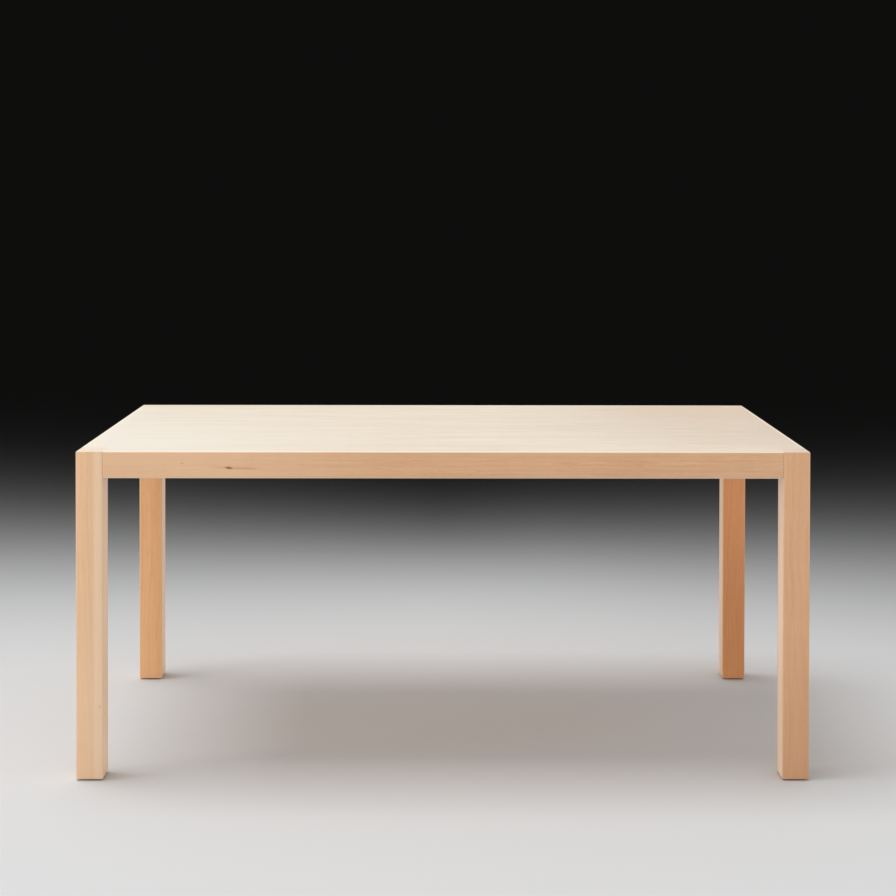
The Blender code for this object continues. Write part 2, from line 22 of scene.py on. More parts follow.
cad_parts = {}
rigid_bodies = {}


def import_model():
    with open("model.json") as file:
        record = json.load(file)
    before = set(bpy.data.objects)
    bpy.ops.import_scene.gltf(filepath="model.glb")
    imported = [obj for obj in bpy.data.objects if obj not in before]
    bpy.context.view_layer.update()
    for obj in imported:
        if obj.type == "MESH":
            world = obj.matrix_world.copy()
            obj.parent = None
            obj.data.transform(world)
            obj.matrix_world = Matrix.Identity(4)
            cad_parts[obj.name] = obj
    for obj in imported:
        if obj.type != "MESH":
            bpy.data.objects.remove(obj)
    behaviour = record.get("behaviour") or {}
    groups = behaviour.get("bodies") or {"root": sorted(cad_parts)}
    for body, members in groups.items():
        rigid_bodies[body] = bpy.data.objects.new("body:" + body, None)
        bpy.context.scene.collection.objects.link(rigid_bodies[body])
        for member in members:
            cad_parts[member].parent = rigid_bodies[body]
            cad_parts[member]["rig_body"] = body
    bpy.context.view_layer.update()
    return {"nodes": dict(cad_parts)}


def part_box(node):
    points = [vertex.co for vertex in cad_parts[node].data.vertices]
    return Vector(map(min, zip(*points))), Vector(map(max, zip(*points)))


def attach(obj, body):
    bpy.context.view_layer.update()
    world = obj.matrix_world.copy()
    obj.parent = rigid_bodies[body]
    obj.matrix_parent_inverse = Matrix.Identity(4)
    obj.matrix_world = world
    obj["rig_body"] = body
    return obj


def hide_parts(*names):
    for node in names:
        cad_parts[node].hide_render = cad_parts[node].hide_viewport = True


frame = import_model()

LOG = logging.getLogger("banquet_table")
FULL_TURN = 2 * math.pi
QUARTER_TURN = math.pi / 2
EIGHTH_TURN = math.pi / 4
SMOOTH_ANGLE = math.radians(35.0)
MERGE_DISTANCE = 1e-6
# How near to a plane a corner of an edge counts as lying on it
NEAR = 0.00012
# How far a cutting tool runs past the wood that it cuts
RUNOUT = 0.001
# A plane that is merged to the first point of a chain
START_SIZE = 0.001
BORE_SIDES = 24
HEXAGON_SIDES = 6
ARC_STEPS = 6
NOISE_MIDDLE = 0.5
BOTH_WAYS = (-1, 1)
BATTENS = ("left", "middle", "right")
BATTEN_ENDS = ("front", "rear")

Colour = tuple[float, float, float]
Point = tuple[float, float, float]
Span = tuple[float, float]
Material = bpy.types.Material
Socket = bpy.types.NodeSocket


def math_method(operation: str, swapped: bool = False) -> Callable[..., "Value"]:
    """Makes a method of Value that adds one Math node.

    Args:
        operation: the Math node's operation.
        swapped: puts the value itself last, as a reflected operator does.

    Returns:
        The method.
    """
    def method(value: "Value", *others: "Value | float") -> "Value":
        """Adds the node over the value and the other terms.

        Args:
            value: the value whose method this is.
            others: the operation's other terms.

        Returns:
            The node's result.
        """
        terms = (*others, value) if swapped else (value, *others)
        made = value.sheet.node("ShaderNodeMath", {"operation": operation}, dict(enumerate(terms)))
        return Value(value.sheet, made.outputs[0])

    return method


class Value:
    """A number in a shader, on which arithmetic adds Math nodes."""

    def __init__(self, sheet: "NodeSheet", socket: Socket) -> None:
        """Wraps one output socket of a sheet."""
        self.sheet = sheet
        self.socket = socket

    __add__ = __radd__ = math_method("ADD")
    __mul__ = __rmul__ = math_method("MULTIPLY")
    __sub__ = math_method("SUBTRACT")
    __rsub__ = math_method("SUBTRACT", swapped=True)
    __truediv__ = math_method("DIVIDE")
    __rtruediv__ = math_method("DIVIDE", swapped=True)
    __pow__ = math_method("POWER")
    __abs__ = math_method("ABSOLUTE")
    exponent = math_method("EXPONENT")
    root = math_method("SQRT")
    fraction = math_method("FRACT")
    lesser = math_method("MINIMUM")
    greater = math_method("MAXIMUM")

    def eased(self, low: float, high: float) -> "Value":
        """A smooth step.

        Args:
            low: where the step starts from 0.
            high: where it has reached 1.

        Returns:
            A value from 0 to 1.
        """
        settings = {"interpolation_type": "SMOOTHSTEP", "clamp": True}
        made = self.sheet.node("ShaderNodeMapRange", settings, {0: self, 1: low, 2: high, 3: 0.0, 4: 1.0})
        return Value(self.sheet, made.outputs[0])


@dataclass(frozen=True)
class Grain:
    """Noise drawn out along a piece: its scale on each of three axes, its octaves and their strength."""

    along: float
    across: float
    inward: float
    detail: float = 2.0
    rough: float = 0.5


class Blend(Enum):
    """How one colour is laid over another."""

    COVER = "MIX"
    TINT = "MULTIPLY"


class NodeSheet:
    """A node tree that is filled in one node at a time."""

    def __init__(self, tree: bpy.types.NodeTree) -> None:
        """Takes the tree that the nodes go into."""
        self.tree = tree

    def node(self, kind: str, settings: Mapping[str, Any] | None = None,
             sockets: Mapping[int | str, Any] | None = None) -> bpy.types.Node:
        """Adds one node.

        Args:
            kind: the node's type.
            settings: its own properties, set before its sockets.
            sockets: numbers, colours, Values or output sockets for its inputs.

        Returns:
            The new node.
        """
        made = self.tree.nodes.new(kind)
        for name, setting in (settings or {}).items():
            setattr(made, name, setting)
        for key, given in (sockets or {}).items():
            self.feed(made.inputs[key], given)
        return made

    def feed(self, socket: Socket, given: Any) -> None:
        """Links or sets one input.

        Args:
            socket: the input.
            given: a Value, an output socket, a number or a colour.
        """
        if isinstance(given, Value):
            self.tree.links.new(given.socket, socket)
        elif isinstance(given, Socket):
            self.tree.links.new(given, socket)
        elif socket.type == "RGBA":
            socket.default_value = (*given, 1.0)
        else:
            socket.default_value = given

    def vector(self, *parts: Value | float) -> Socket:
        """Three numbers as one vector."""
        return self.node("ShaderNodeCombineXYZ", None, dict(enumerate(parts))).outputs[0]

    def split(self, vector: Socket) -> list[Value]:
        """A vector as three numbers."""
        made = self.node("ShaderNodeSeparateXYZ", None, {0: vector})
        return [Value(self, output) for output in made.outputs]

    def noise(self, parts: Sequence[Value | float], detail: float, rough: float = 0.5) -> Value:
        """Soft noise about 0.5 over three coordinates, already in units of its own grain."""
        sockets = {"Vector": self.vector(*parts), "Scale": 1.0, "Detail": detail, "Roughness": rough}
        return Value(self, self.node("ShaderNodeTexNoise", None, sockets).outputs[0])

    def grain(self, place: Sequence[Value], grain: Grain,
              shift: Sequence[Value | float] = (0.0, 0.0, 0.0)) -> Value:
        """Noise of one grain.

        Args:
            place: three coordinates in metres.
            grain: the noise's scales and octaves.
            shift: what is added to each coordinate once it is scaled.

        Returns:
            A value about 0.5.
        """
        scales = (grain.along, grain.across, grain.inward)
        parts = [part * scale + more for part, scale, more in zip(place, scales, shift)]
        return self.noise(parts, grain.detail, grain.rough)

    def cells(self, place: Sequence[Value], scale: float) -> Value:
        """Distance from the middle of each cell of a Voronoi pattern, of that many cells to a metre."""
        sockets = {"Vector": self.vector(*place), "Scale": scale}
        return Value(self, self.node("ShaderNodeTexVoronoi", None, sockets).outputs["Distance"])

    def mix(self, share: Value | float, first: Any, second: Any, blend: Blend = Blend.COVER) -> Socket:
        """Mixes two colours.

        Args:
            share: how much of the second colour shows.
            first: the colour underneath.
            second: the colour laid over it.
            blend: how it is laid.

        Returns:
            The mixed colour's socket.
        """
        settings = {"data_type": "RGBA", "blend_type": blend.value, "clamp_factor": True}
        return self.node("ShaderNodeMix", settings, {0: share, 6: first, 7: second}).outputs[2]

    def object_place(self) -> list[Value]:
        """The point's place in its piece's own frame, in metres."""
        return self.split(self.node("ShaderNodeTexCoord").outputs["Object"])

    def object_facing(self) -> list[Value]:
        """The surface's direction in its piece's own frame."""
        return self.split(self.node("ShaderNodeTexCoord").outputs["Normal"])


class FinishSheet(NodeSheet):
    """The node tree of one finish, with its Principled shader."""

    def __init__(self, name: str) -> None:
        """Starts a material.

        Args:
            name: the material's name.
        """
        self.material = bpy.data.materials.new(name)
        self.material.use_nodes = True
        super().__init__(self.material.node_tree)
        self.shader = self.tree.nodes["Principled BSDF"]

    def surface(self, **inputs: Any) -> None:
        """Sets or links the shader's inputs, named with _ for each space."""
        for name, given in inputs.items():
            self.feed(self.shader.inputs[name.replace("_", " ").title().replace("Ior", "IOR")], given)

    def relief(self, height: Value, depth: float) -> None:
        """Raises the surface, where a height of 1 stands that depth in metres above a height of 0."""
        bump = self.node("ShaderNodeBump", None, {"Strength": 1.0, "Distance": depth, "Height": height})
        self.feed(self.shader.inputs["Normal"], bump.outputs[0])


class BoardCut(Enum):
    """Which of X, Y and Z run along a board's grain, across its face and into its thickness."""

    TOP = (0, 1, 2)
    LONG_APRON = (0, 2, 1)
    END_APRON = (1, 2, 0)
    LEG = (2, 0, 1)
    BATTEN = (1, 0, 2)


@dataclass(frozen=True)
class WoodMark:
    """One soft mark in a board: a mineral streak, a fleck, a strip of another tone, or a patch of painted
    light or shade.

    Its centre and reach are along the grain, across the face and into the thickness.
    """

    centre: Point
    reach: Point
    shade: Colour
    strength: float
    fibrous: float = 0.3
    lean: float = 0.0
    blend: Blend = Blend.COVER


@dataclass(frozen=True)
class WoodFinish:
    """Clear-oiled close-grained wood: rings about a pith, wandering fibres, flecks and end grain."""

    name: str
    cut: BoardCut
    pale: Colour
    deep: Colour
    seed: float
    seed_stride: float = 3.7
    wander: Grain = Grain(0.9, 2.2, 2.2, 1.0)
    wander_reach: Span = (0.05, 0.03)
    ripple: Grain = Grain(6.0, 11.0, 11.0)
    ripple_reach: Span = (0.004, 0.003)
    pith: Span = (0.035, -0.130)
    ring_pitch: float = 0.0062
    ring_edge: float = 4.0
    ring_drift: float = 2.4
    drift: Grain = Grain(55.0, 0.0, 0.3, 1.0)
    base_tone: float = 0.34
    mean_tone: float = 0.4
    band_length: float = 0.70
    band_width: float = 0.030
    band_detail: float = 4.0
    band_rough: float = 0.60
    band_depth: float = 0.80
    ring_depth: float = 0.20
    fibre: Grain = Grain(9.0, 330.0, 330.0, 3.0, 0.6)
    fibre_depth: float = 0.55
    fleck: Grain = Grain(60.0, 900.0, 260.0, 0.0)
    fleck_span: Span = (0.68, 0.76)
    fleck_depth: float = 0.35
    curl: Grain = Grain(26.0, 4.0, 4.0, 1.0)
    curl_depth: float = 0.18
    blush: Grain = Grain(2.6, 38.0, 38.0, 3.0, 0.6)
    blush_span: Span = (0.48, 0.72)
    blush_share: float = 0.35
    blush_shade: Colour = (1.01, 0.95, 0.87)
    mark_fade: Span = (0.25, 1.0)
    mark_fibres: Span = (0.30, 0.62)
    facing_span: Span = (0.6, 0.95)
    end_tone: Colour = (0.735, 0.640, 0.525)
    end_share: float = 0.85
    end_rings: Span = (1.09, 0.78)
    underside_tint_and_painted_shade: Colour = (0.90, 0.86, 0.80)
    rub: Grain = Grain(9.0, 9.0, 9.0, 3.0)
    roughness: float = 0.38
    rough_swing: float = 0.10
    grain_relief: float = 0.00007
    tone_relief: float = 0.6
    # Wear along the arrises, with a painted highlight where light catches the rounded edge
    worn_and_highlight: float = 0.20
    worn_and_highlight_width: float = 0.0030
    worn_and_highlight_tone: Colour = (0.970, 0.800, 0.630)
    worn_and_highlight_ends: bool = True
    worn_gloss: float = 0.06
    patches: Grain = Grain(14.0, 14.0, 14.0)
    patch_span: Span = (0.25, 0.75)
    patch_share: float = 0.25
    upper_share: float = 0.65
    marks: tuple[WoodMark, ...] = ()

    def material(self, low: Vector, high: Vector) -> Material:
        """Builds the finish for one board.

        Args:
            low: the board's lowest corner.
            high: its highest corner.

        Returns:
            The material.
        """
        sheet = FinishSheet(self.name)
        place = sheet.object_place()
        axes = [place[axis] for axis in self.cut.value]
        centre = (low + high) / 2
        along = axes[0] + self.seed * self.seed_stride
        wide = axes[1] - centre[self.cut.value[1]]
        deep = axes[2] - centre[self.cut.value[2]]
        wander = sheet.grain((along, wide, deep), self.wander, (0.0, self.seed, 0.0)) - NOISE_MIDDLE
        ripple = sheet.grain((along, wide, deep), self.ripple, (0.0, 0.0, self.seed)) - NOISE_MIDDLE
        across = wide + wander * self.wander_reach[0] + ripple * self.ripple_reach[0]
        inward = deep + wander * self.wander_reach[1] + ripple * self.ripple_reach[1]
        grain = (along, across, inward)
        fibre = sheet.grain(grain, self.fibre)
        tone = self._tone(sheet, grain, fibre)
        colour = sheet.mix(tone, self.pale, self.deep)
        blush = sheet.grain(grain, self.blush, (0.0, self.seed, 0.0)).eased(*self.blush_span)
        colour = sheet.mix(blush * self.blush_share, colour, self.blush_shade, Blend.TINT)
        for mark in self.marks:
            colour = self._marked(sheet, colour, mark, axes, fibre)
        colour = self._ends_and_underside(sheet, colour, tone)
        # Wear and a painted highlight along the arrises
        wear_and_highlight = self._wear_and_highlight(sheet, place, low, high)
        colour = sheet.mix(wear_and_highlight * self.worn_and_highlight, colour, self.worn_and_highlight_tone)
        rub = sheet.grain(place, self.rub) - NOISE_MIDDLE
        rough = self.roughness + (tone - self.mean_tone) * self.rough_swing + rub * self.rough_swing
        sheet.surface(base_color=colour, roughness=rough - wear_and_highlight * self.worn_gloss)
        sheet.relief(fibre + tone * self.tone_relief, self.grain_relief)
        return sheet.material

    def _tone(self, sheet: FinishSheet, grain: Sequence[Value], fibre: Value) -> Value:
        """How deep the wood's tone is, from rings, bands, fibres, flecks and curl.

        Args:
            sheet: the finish's sheet.
            grain: places along, across and into the board, on its wandering grain.
            fibre: the fibres' noise.

        Returns:
            A value from about 0, pale, to about 1, deep.
        """
        along, across, inward = grain
        band = sheet.noise((along / self.band_length, across / self.band_width + self.seed,
                            inward / self.band_width), self.band_detail, self.band_rough)
        off_wide = across - self.pith[0]
        off_deep = inward - self.pith[1]
        reach = (off_wide * off_wide + off_deep * off_deep).root()
        drift = sheet.grain((reach, reach, along), self.drift, (0.0, self.seed, 0.0))
        ring = (reach / self.ring_pitch + drift * self.ring_drift).fraction() ** self.ring_edge
        fleck = sheet.grain(grain, self.fleck).eased(*self.fleck_span)
        curl = sheet.grain(grain, self.curl) - NOISE_MIDDLE
        tone = (band - NOISE_MIDDLE) * self.band_depth + ring * self.ring_depth
        tone = tone + (fibre - NOISE_MIDDLE) * self.fibre_depth + fleck * self.fleck_depth
        return tone + curl * self.curl_depth + self.base_tone

    def _marked(self, sheet: FinishSheet, colour: Socket, mark: WoodMark, axes: Sequence[Value],
                fibre: Value) -> Socket:
        """Lays one mark over the wood's colour.

        Args:
            sheet: the finish's sheet.
            colour: the colour underneath.
            mark: the mark.
            axes: places along, across and into the board, in the table's frame.
            fibre: the fibres' noise, which breaks the mark up.

        Returns:
            The marked colour.
        """
        along, wide, deep = (axis - middle for axis, middle in zip(axes, mark.centre))
        wide = wide - along * mark.lean
        parts = [part / reach for part, reach in zip((along, wide, deep), mark.reach)]
        off = (parts[0] * parts[0] + parts[1] * parts[1] + parts[2] * parts[2]).root()
        soft = 1.0 - off.eased(*self.mark_fade)
        broken = fibre.eased(*self.mark_fibres) * mark.fibrous + (1.0 - mark.fibrous)
        return sheet.mix(soft * broken * mark.strength, colour, mark.shade, mark.blend)

    def _ends_and_underside(self, sheet: FinishSheet, colour: Socket, tone: Value) -> Socket:
        """Lays ringed end grain on the board's ends, and tints the faces that look down: the bare underside's
        own tone, and on the legs a painted shade under the feet.

        Args:
            sheet: the finish's sheet.
            colour: the colour of the long faces.
            tone: how deep the wood's tone is.

        Returns:
            The colour of all faces.
        """
        facing = sheet.object_facing()
        end = abs(facing[self.cut.value[0]]).eased(*self.facing_span)
        early, late = (tuple(part * share for part in self.end_tone) for share in self.end_rings)
        colour = sheet.mix(end * self.end_share, colour, sheet.mix(tone, early, late))
        # Downward faces: the unfinished underside's own tint, and on the legs' feet a painted shade
        down = (0.0 - facing[2]).eased(*self.facing_span)
        return sheet.mix(down, colour, self.underside_tint_and_painted_shade, Blend.TINT)

    def _wear_and_highlight(self, sheet: FinishSheet, place: Sequence[Value], low: Vector, high: Vector) -> Value:
        """How much a point lies on one of the board's arrises, where wear and a painted highlight are laid.

        Args:
            sheet: the finish's sheet.
            place: the point, in the table's frame.
            low: the board's lowest corner.
            high: its highest corner.

        Returns:
            A value from 0 to 1, less towards the floor.
        """
        near = []
        for axis in range(3):
            inset = (place[axis] - low[axis]).lesser(high[axis] - place[axis])
            near.append(1.0 - inset.eased(0.0, self.worn_and_highlight_width))
        along, wide, deep = (near[axis] for axis in self.cut.value)
        edge = wide * deep
        if self.worn_and_highlight_ends:
            edge = edge.greater(along * wide).greater(along * deep)
        patchy = sheet.grain(place, self.patches).eased(*self.patch_span)
        upper = (place[2] - low.z) / (high.z - low.z)
        patchy = patchy * self.patch_share + (1.0 - self.patch_share)
        return edge * patchy * (upper * self.upper_share + (1.0 - self.upper_share))


@dataclass(frozen=True)
class PlyFinish:
    """Birch ply of the loose tongues: pale plies with thin dark glue lines."""

    name: str = "birch_ply_tongue"
    face: Colour = (0.72, 0.57, 0.40)
    streak: Colour = (0.60, 0.45, 0.29)
    glue: Colour = (0.34, 0.22, 0.12)
    ply: float = 0.0013
    glue_span: Span = (0.0, 0.12)
    glue_share: float = 0.8
    fibre: Grain = Grain(12.0, 300.0, 300.0, 3.0)
    fibre_span: Span = (0.2, 0.9)
    roughness: float = 0.55
    rough_swing: float = 0.15
    fibre_relief: float = 0.00008

    def material(self) -> Material:
        """Builds the finish.

        Returns:
            The material.
        """
        sheet = FinishSheet(self.name)
        place = sheet.object_place()
        fibre = sheet.grain(place, self.fibre)
        layer = ((place[1] + place[2]) / (self.ply * math.sqrt(2.0))).fraction()
        line = 1.0 - abs(layer - 0.5).eased(*self.glue_span)
        colour = sheet.mix(fibre.eased(*self.fibre_span), self.face, self.streak)
        colour = sheet.mix(line * self.glue_share, colour, self.glue)
        sheet.surface(base_color=colour, roughness=self.roughness + fibre * self.rough_swing)
        sheet.relief(fibre, self.fibre_relief)
        return sheet.material


@dataclass(frozen=True)
class ZincFinish:
    """Bright zinc plate on steel: a clouded, finely scratched metal with a faint warm cast."""

    name: str = "zinc_plated_steel"
    bright: Colour = (0.66, 0.67, 0.68)
    dull: Colour = (0.50, 0.51, 0.53)
    warm: Colour = (0.70, 0.66, 0.56)
    cloud: Grain = Grain(70.0, 70.0, 70.0, 3.0, 0.6)
    cloud_span: Span = (0.3, 0.7)
    cast: Grain = Grain(24.0, 24.0, 24.0, 1.0)
    cast_shift: Point = (0.0, 0.0, 5.0)
    cast_span: Span = (0.5, 0.8)
    cast_share: float = 0.35
    spangle_scale: float = 420.0
    scratch: Grain = Grain(260.0, 260.0, 2400.0, 2.0, 0.7)
    scratch_lean: float = 90.0
    scratch_span: Span = (0.5, 0.8)
    roughness: float = 0.26
    cloud_rough: float = 0.18
    spangle_rough: float = 0.06
    scratch_rough: float = 0.08
    relief: float = 0.00002
    scratch_relief: float = 0.6
    spangle_relief: float = 0.4

    def material(self) -> Material:
        """Builds the finish.

        Returns:
            The material.
        """
        sheet = FinishSheet(self.name)
        place = sheet.object_place()
        cloud = sheet.grain(place, self.cloud)
        cast = sheet.grain(place, self.cast, self.cast_shift).eased(*self.cast_span)
        spangle = sheet.cells(place, self.spangle_scale)
        scratch = sheet.grain(place, self.scratch, (place[2] * self.scratch_lean, 0.0, 0.0))
        colour = sheet.mix(cloud.eased(*self.cloud_span), self.bright, self.dull)
        colour = sheet.mix(cast * self.cast_share, colour, self.warm)
        rough = self.roughness + cloud * self.cloud_rough + spangle * self.spangle_rough
        rough = rough + scratch.eased(*self.scratch_span) * self.scratch_rough
        sheet.surface(base_color=colour, roughness=rough, metallic=1.0)
        sheet.relief(scratch * self.scratch_relief + spangle * self.spangle_relief, self.relief)
        return sheet.material


@dataclass(frozen=True)
class NylonFinish:
    """Moulded black nylon with a fine spark-eroded grain, scuffed grey on the sole."""

    name: str = "black_nylon"
    black: Colour = (0.022, 0.022, 0.024)
    bloom: Colour = (0.045, 0.045, 0.047)
    scuff: Colour = (0.16, 0.155, 0.15)
    sole: float = 0.0006
    cloud: Grain = Grain(120.0, 120.0, 120.0)
    cloud_span: Span = (0.3, 0.75)
    mould: Grain = Grain(2600.0, 2600.0, 2600.0, 1.0)
    rubbing: Grain = Grain(900.0, 160.0, 160.0, 3.0, 0.65)
    rubbed_span: Span = (0.48, 0.70)
    rubbed_share: float = 0.7
    roughness: float = 0.46
    mould_rough: float = 0.14
    cloud_rough: float = 0.06
    mould_relief: float = 0.00003

    def material(self) -> Material:
        """Builds the finish.

        Returns:
            The material.
        """
        sheet = FinishSheet(self.name)
        place = sheet.object_place()
        cloud = sheet.grain(place, self.cloud)
        mould = sheet.grain(place, self.mould)
        rubbed = sheet.grain(place, self.rubbing).eased(*self.rubbed_span)
        low = 1.0 - place[2].eased(0.0, self.sole)
        colour = sheet.mix(cloud.eased(*self.cloud_span), self.black, self.bloom)
        colour = sheet.mix(rubbed * low * self.rubbed_share, colour, self.scuff)
        rough = self.roughness + mould * self.mould_rough + cloud * self.cloud_rough
        sheet.surface(base_color=colour, roughness=rough)
        sheet.relief(mould, self.mould_relief)
        return sheet.material


class Pick(Enum):
    """What an edit-mode operator acts on."""

    EDGES = ("EDGE", "edges")
    FACES = ("FACE", "faces")


class Meeting(Enum):
    """What a boolean step leaves of a piece that meets a tool."""

    CUT = "DIFFERENCE"
    JOIN = "UNION"
    SHARE = "INTERSECT"


class Workpiece:
    """One mesh on the bench, shaped in edit mode with operators and with its place in its mesh."""

    def __init__(self, name: str) -> None:
        """Takes up the object that an operator has just added.

        Args:
            name: the piece's name.
        """
        self.obj: bpy.types.Object = bpy.context.object
        self.obj.name = name
        self.obj.data.name = name
        bpy.ops.object.transform_apply(location=True, rotation=True, scale=True)

    @classmethod
    def block(cls, name: str, low: Sequence[float], high: Sequence[float]) -> "Workpiece":
        """Starts from a cube at a box's size and place.

        Args:
            name: the piece's name.
            low: the box's lowest corner.
            high: its highest corner.

        Returns:
            The block.
        """
        cls.put_down()
        size = Vector(high) - Vector(low)
        bpy.ops.mesh.primitive_cube_add(size=1, location=(Vector(low) + Vector(high)) / 2, scale=size)
        return cls(name)

    @classmethod
    def drum(cls, name: str, radius: float, low: float, high: float, sides: int) -> "Workpiece":
        """Starts from an upright cylinder on the Z axis, with a corner on +X.

        Args:
            name: the piece's name.
            radius: distance of its corners from the axis.
            low: height of its lower end.
            high: height of its upper end.
            sides: facets round the axis.

        Returns:
            The drum.
        """
        cls.put_down()
        bpy.ops.mesh.primitive_cylinder_add(vertices=sides, radius=radius, depth=high - low,
                                            location=(0, 0, (low + high) / 2), rotation=(0, 0, -QUARTER_TURN))
        return cls(name)

    @classmethod
    def line(cls, name: str, points: Sequence[Sequence[float]], closed: bool = False) -> "Workpiece":
        """Draws a chain of edges, by extruding one point along it.

        Args:
            name: the piece's name.
            points: the chain's corners.
            closed: joins the last point to the first.

        Returns:
            The piece, as edges alone.
        """
        cls.put_down()
        bpy.ops.mesh.primitive_plane_add(size=START_SIZE, location=points[0])
        piece = cls(name)
        with piece.editing():
            bpy.ops.mesh.merge(type="CENTER")
            for before, after in zip(points, points[1:]):
                step = Vector(after) - Vector(before)
                bpy.ops.mesh.extrude_vertices_move(TRANSFORM_OT_translate={"value": step})
            if closed:
                bpy.ops.mesh.select_all(action="DESELECT")
                bm = bmesh.from_edit_mesh(piece.obj.data)
                for vert in bm.verts:
                    vert.select_set(len(vert.link_edges) == 1)
                bm.select_flush_mode()
                bpy.ops.mesh.edge_face_add()
        return piece

    @classmethod
    def turned(cls, name: str, profile: Sequence[tuple[float, float]], steps: int,
               closed: bool = False) -> "Workpiece":
        """Turns a profile about Z, as on a lathe.

        Args:
            name: the piece's name.
            profile: radius and height of each point.
            steps: facets round the axis.
            closed: the profile is a loop clear of the axis.

        Returns:
            The closed solid.
        """
        piece = cls.line(name, [(radius, 0.0, height) for radius, height in profile], closed)
        with piece.editing():
            bpy.ops.mesh.spin(steps=steps, angle=FULL_TURN, center=(0, 0, 0), axis=(0, 0, 1))
        piece.clean()
        return piece

    @classmethod
    def thread(cls, name: str, core: float, crest: float, pitch: float, low: float, high: float,
               steps: int) -> "Workpiece":
        """Winds a screw thread about Z.

        Args:
            name: the piece's name.
            core: radius at the root of the thread.
            crest: radius at its crest.
            pitch: rise of one turn.
            low: height of the flat lower end.
            high: height of the flat upper end.
            steps: facets to a turn.

        Returns:
            The threaded rod, closed at both ends.
        """
        start = low - pitch
        crest_half = pitch / 8
        spare_turns = 2
        piece = cls.line(name, [(core, 0, start), (crest, 0, start + pitch / 2 - crest_half),
                                (crest, 0, start + pitch / 2 + crest_half), (core, 0, start + pitch)])
        piece.modify("SCREW", axis="Z", angle=FULL_TURN, screw_offset=pitch, steps=steps, render_steps=steps,
                     iterations=math.ceil((high - low) / pitch) + spare_turns, use_smooth_shade=False)
        piece.clean()
        piece.slice((0, 0, low), (0, 0, -1))
        piece.slice((0, 0, high), (0, 0, 1))
        return piece

    @staticmethod
    def put_down() -> None:
        """Leaves edit mode and deselects every object."""
        if bpy.context.object and bpy.context.object.mode != "OBJECT":
            bpy.ops.object.mode_set(mode="OBJECT")
        bpy.ops.object.select_all(action="DESELECT")

    def take(self) -> None:
        """Selects this piece alone."""
        self.put_down()
        self.obj.select_set(True)
        bpy.context.view_layer.objects.active = self.obj

    @contextmanager
    def editing(self) -> Iterator[None]:
        """Edit mode on this piece alone, with points selectable and all of it selected.

        Yields:
            Nothing, while the piece is in edit mode.
        """
        self.take()
        bpy.ops.object.mode_set(mode="EDIT")
        bpy.ops.mesh.select_mode(type="VERT")
        bpy.ops.mesh.select_all(action="SELECT")
        yield
        bpy.ops.object.mode_set(mode="OBJECT")

    def pick(self, kind: Pick, test: Callable[[Vector], bool]) -> None:
        """Selects, in edit mode, only the edges or faces with every corner passing a test.

        Args:
            kind: edges or faces.
            test: tells by its place whether a corner passes.
        """
        bpy.ops.mesh.select_all(action="DESELECT")
        bpy.ops.mesh.select_mode(type=kind.value[0])
        bm = bmesh.from_edit_mesh(self.obj.data)
        for item in getattr(bm, kind.value[1]):
            item.select_set(all(test(vert.co) for vert in item.verts))
        bm.select_flush_mode()
        bmesh.update_edit_mesh(self.obj.data)

    def round_edges(self, test: Callable[[Vector], bool], radius: float, segments: int) -> None:
        """Bevels some edges to a round.

        Args:
            test: passes both ends of each edge that is rounded.
            radius: the round's size.
            segments: facets across it.
        """
        with self.editing():
            self.pick(Pick.EDGES, test)
            bpy.ops.mesh.bevel(offset=radius, segments=segments, affect="EDGES")

    def raise_up(self, height: float) -> None:
        """Extrudes a flat face or chain upwards."""
        with self.editing():
            bpy.ops.mesh.extrude_region_move(TRANSFORM_OT_translate={"value": (0, 0, height)})

    def slice(self, through: Sequence[float], away: Sequence[float]) -> None:
        """Cuts off what lies past a plane, on the side that away points to, and closes the cut."""
        with self.editing():
            bpy.ops.mesh.bisect(plane_co=through, plane_no=away, use_fill=True, clear_outer=True)

    def modify(self, kind: str, **settings: Any) -> None:
        """Adds one modifier and applies it.

        Args:
            kind: the modifier's type.
            settings: its properties.
        """
        self.take()
        bpy.ops.object.modifier_add(type=kind)
        step = self.obj.modifiers[-1]
        for name, setting in settings.items():
            setattr(step, name, setting)
        bpy.ops.object.modifier_apply(modifier=step.name)

    def combine(self, meeting: Meeting, *tools: "Workpiece") -> None:
        """Cuts, joins or crosses with other pieces, which are used up.

        Args:
            meeting: what is left of the piece and each tool.
            tools: the other pieces.
        """
        for tool in tools:
            self.modify("BOOLEAN", operation=meeting.value, solver="EXACT", object=tool.obj)
            tool.discard()

    def clean(self) -> None:
        """Merges doubled points and turns the faces outwards."""
        with self.editing():
            bpy.ops.mesh.remove_doubles(threshold=MERGE_DISTANCE)
            bpy.ops.mesh.normals_make_consistent(inside=False)

    def move(self, matrix: Matrix) -> "Workpiece":
        """Moves the piece and keeps its place in its mesh.

        Args:
            matrix: from where it is to where it goes.

        Returns:
            The piece itself.
        """
        self.take()
        self.obj.matrix_world = matrix
        bpy.ops.object.transform_apply(location=True, rotation=True, scale=True)
        return self

    def copy(self, name: str, matrix: Matrix) -> "Workpiece":
        """Copies the piece, with a mesh of its own, to another place.

        Args:
            name: the copy's name.
            matrix: from the piece's place to the copy's.

        Returns:
            The copy.
        """
        self.take()
        bpy.ops.object.duplicate(linked=False)
        return Workpiece(name).move(matrix)

    def shade(self) -> None:
        """Shades round walls smooth and keeps the sharp edges."""
        self.take()
        bpy.ops.object.shade_smooth_by_angle(angle=SMOOTH_ANGLE)

    def discard(self) -> None:
        """Removes a used tool, or a pattern once its copies are made."""
        bpy.data.objects.remove(self.obj)


def quarter_arc() -> list[tuple[float, float]]:
    """Sine and cosine at even steps from 0 to 90 degrees."""
    angles = [math.radians(90.0 / ARC_STEPS * step) for step in range(ARC_STEPS + 1)]
    return [(math.sin(angle), math.cos(angle)) for angle in angles]


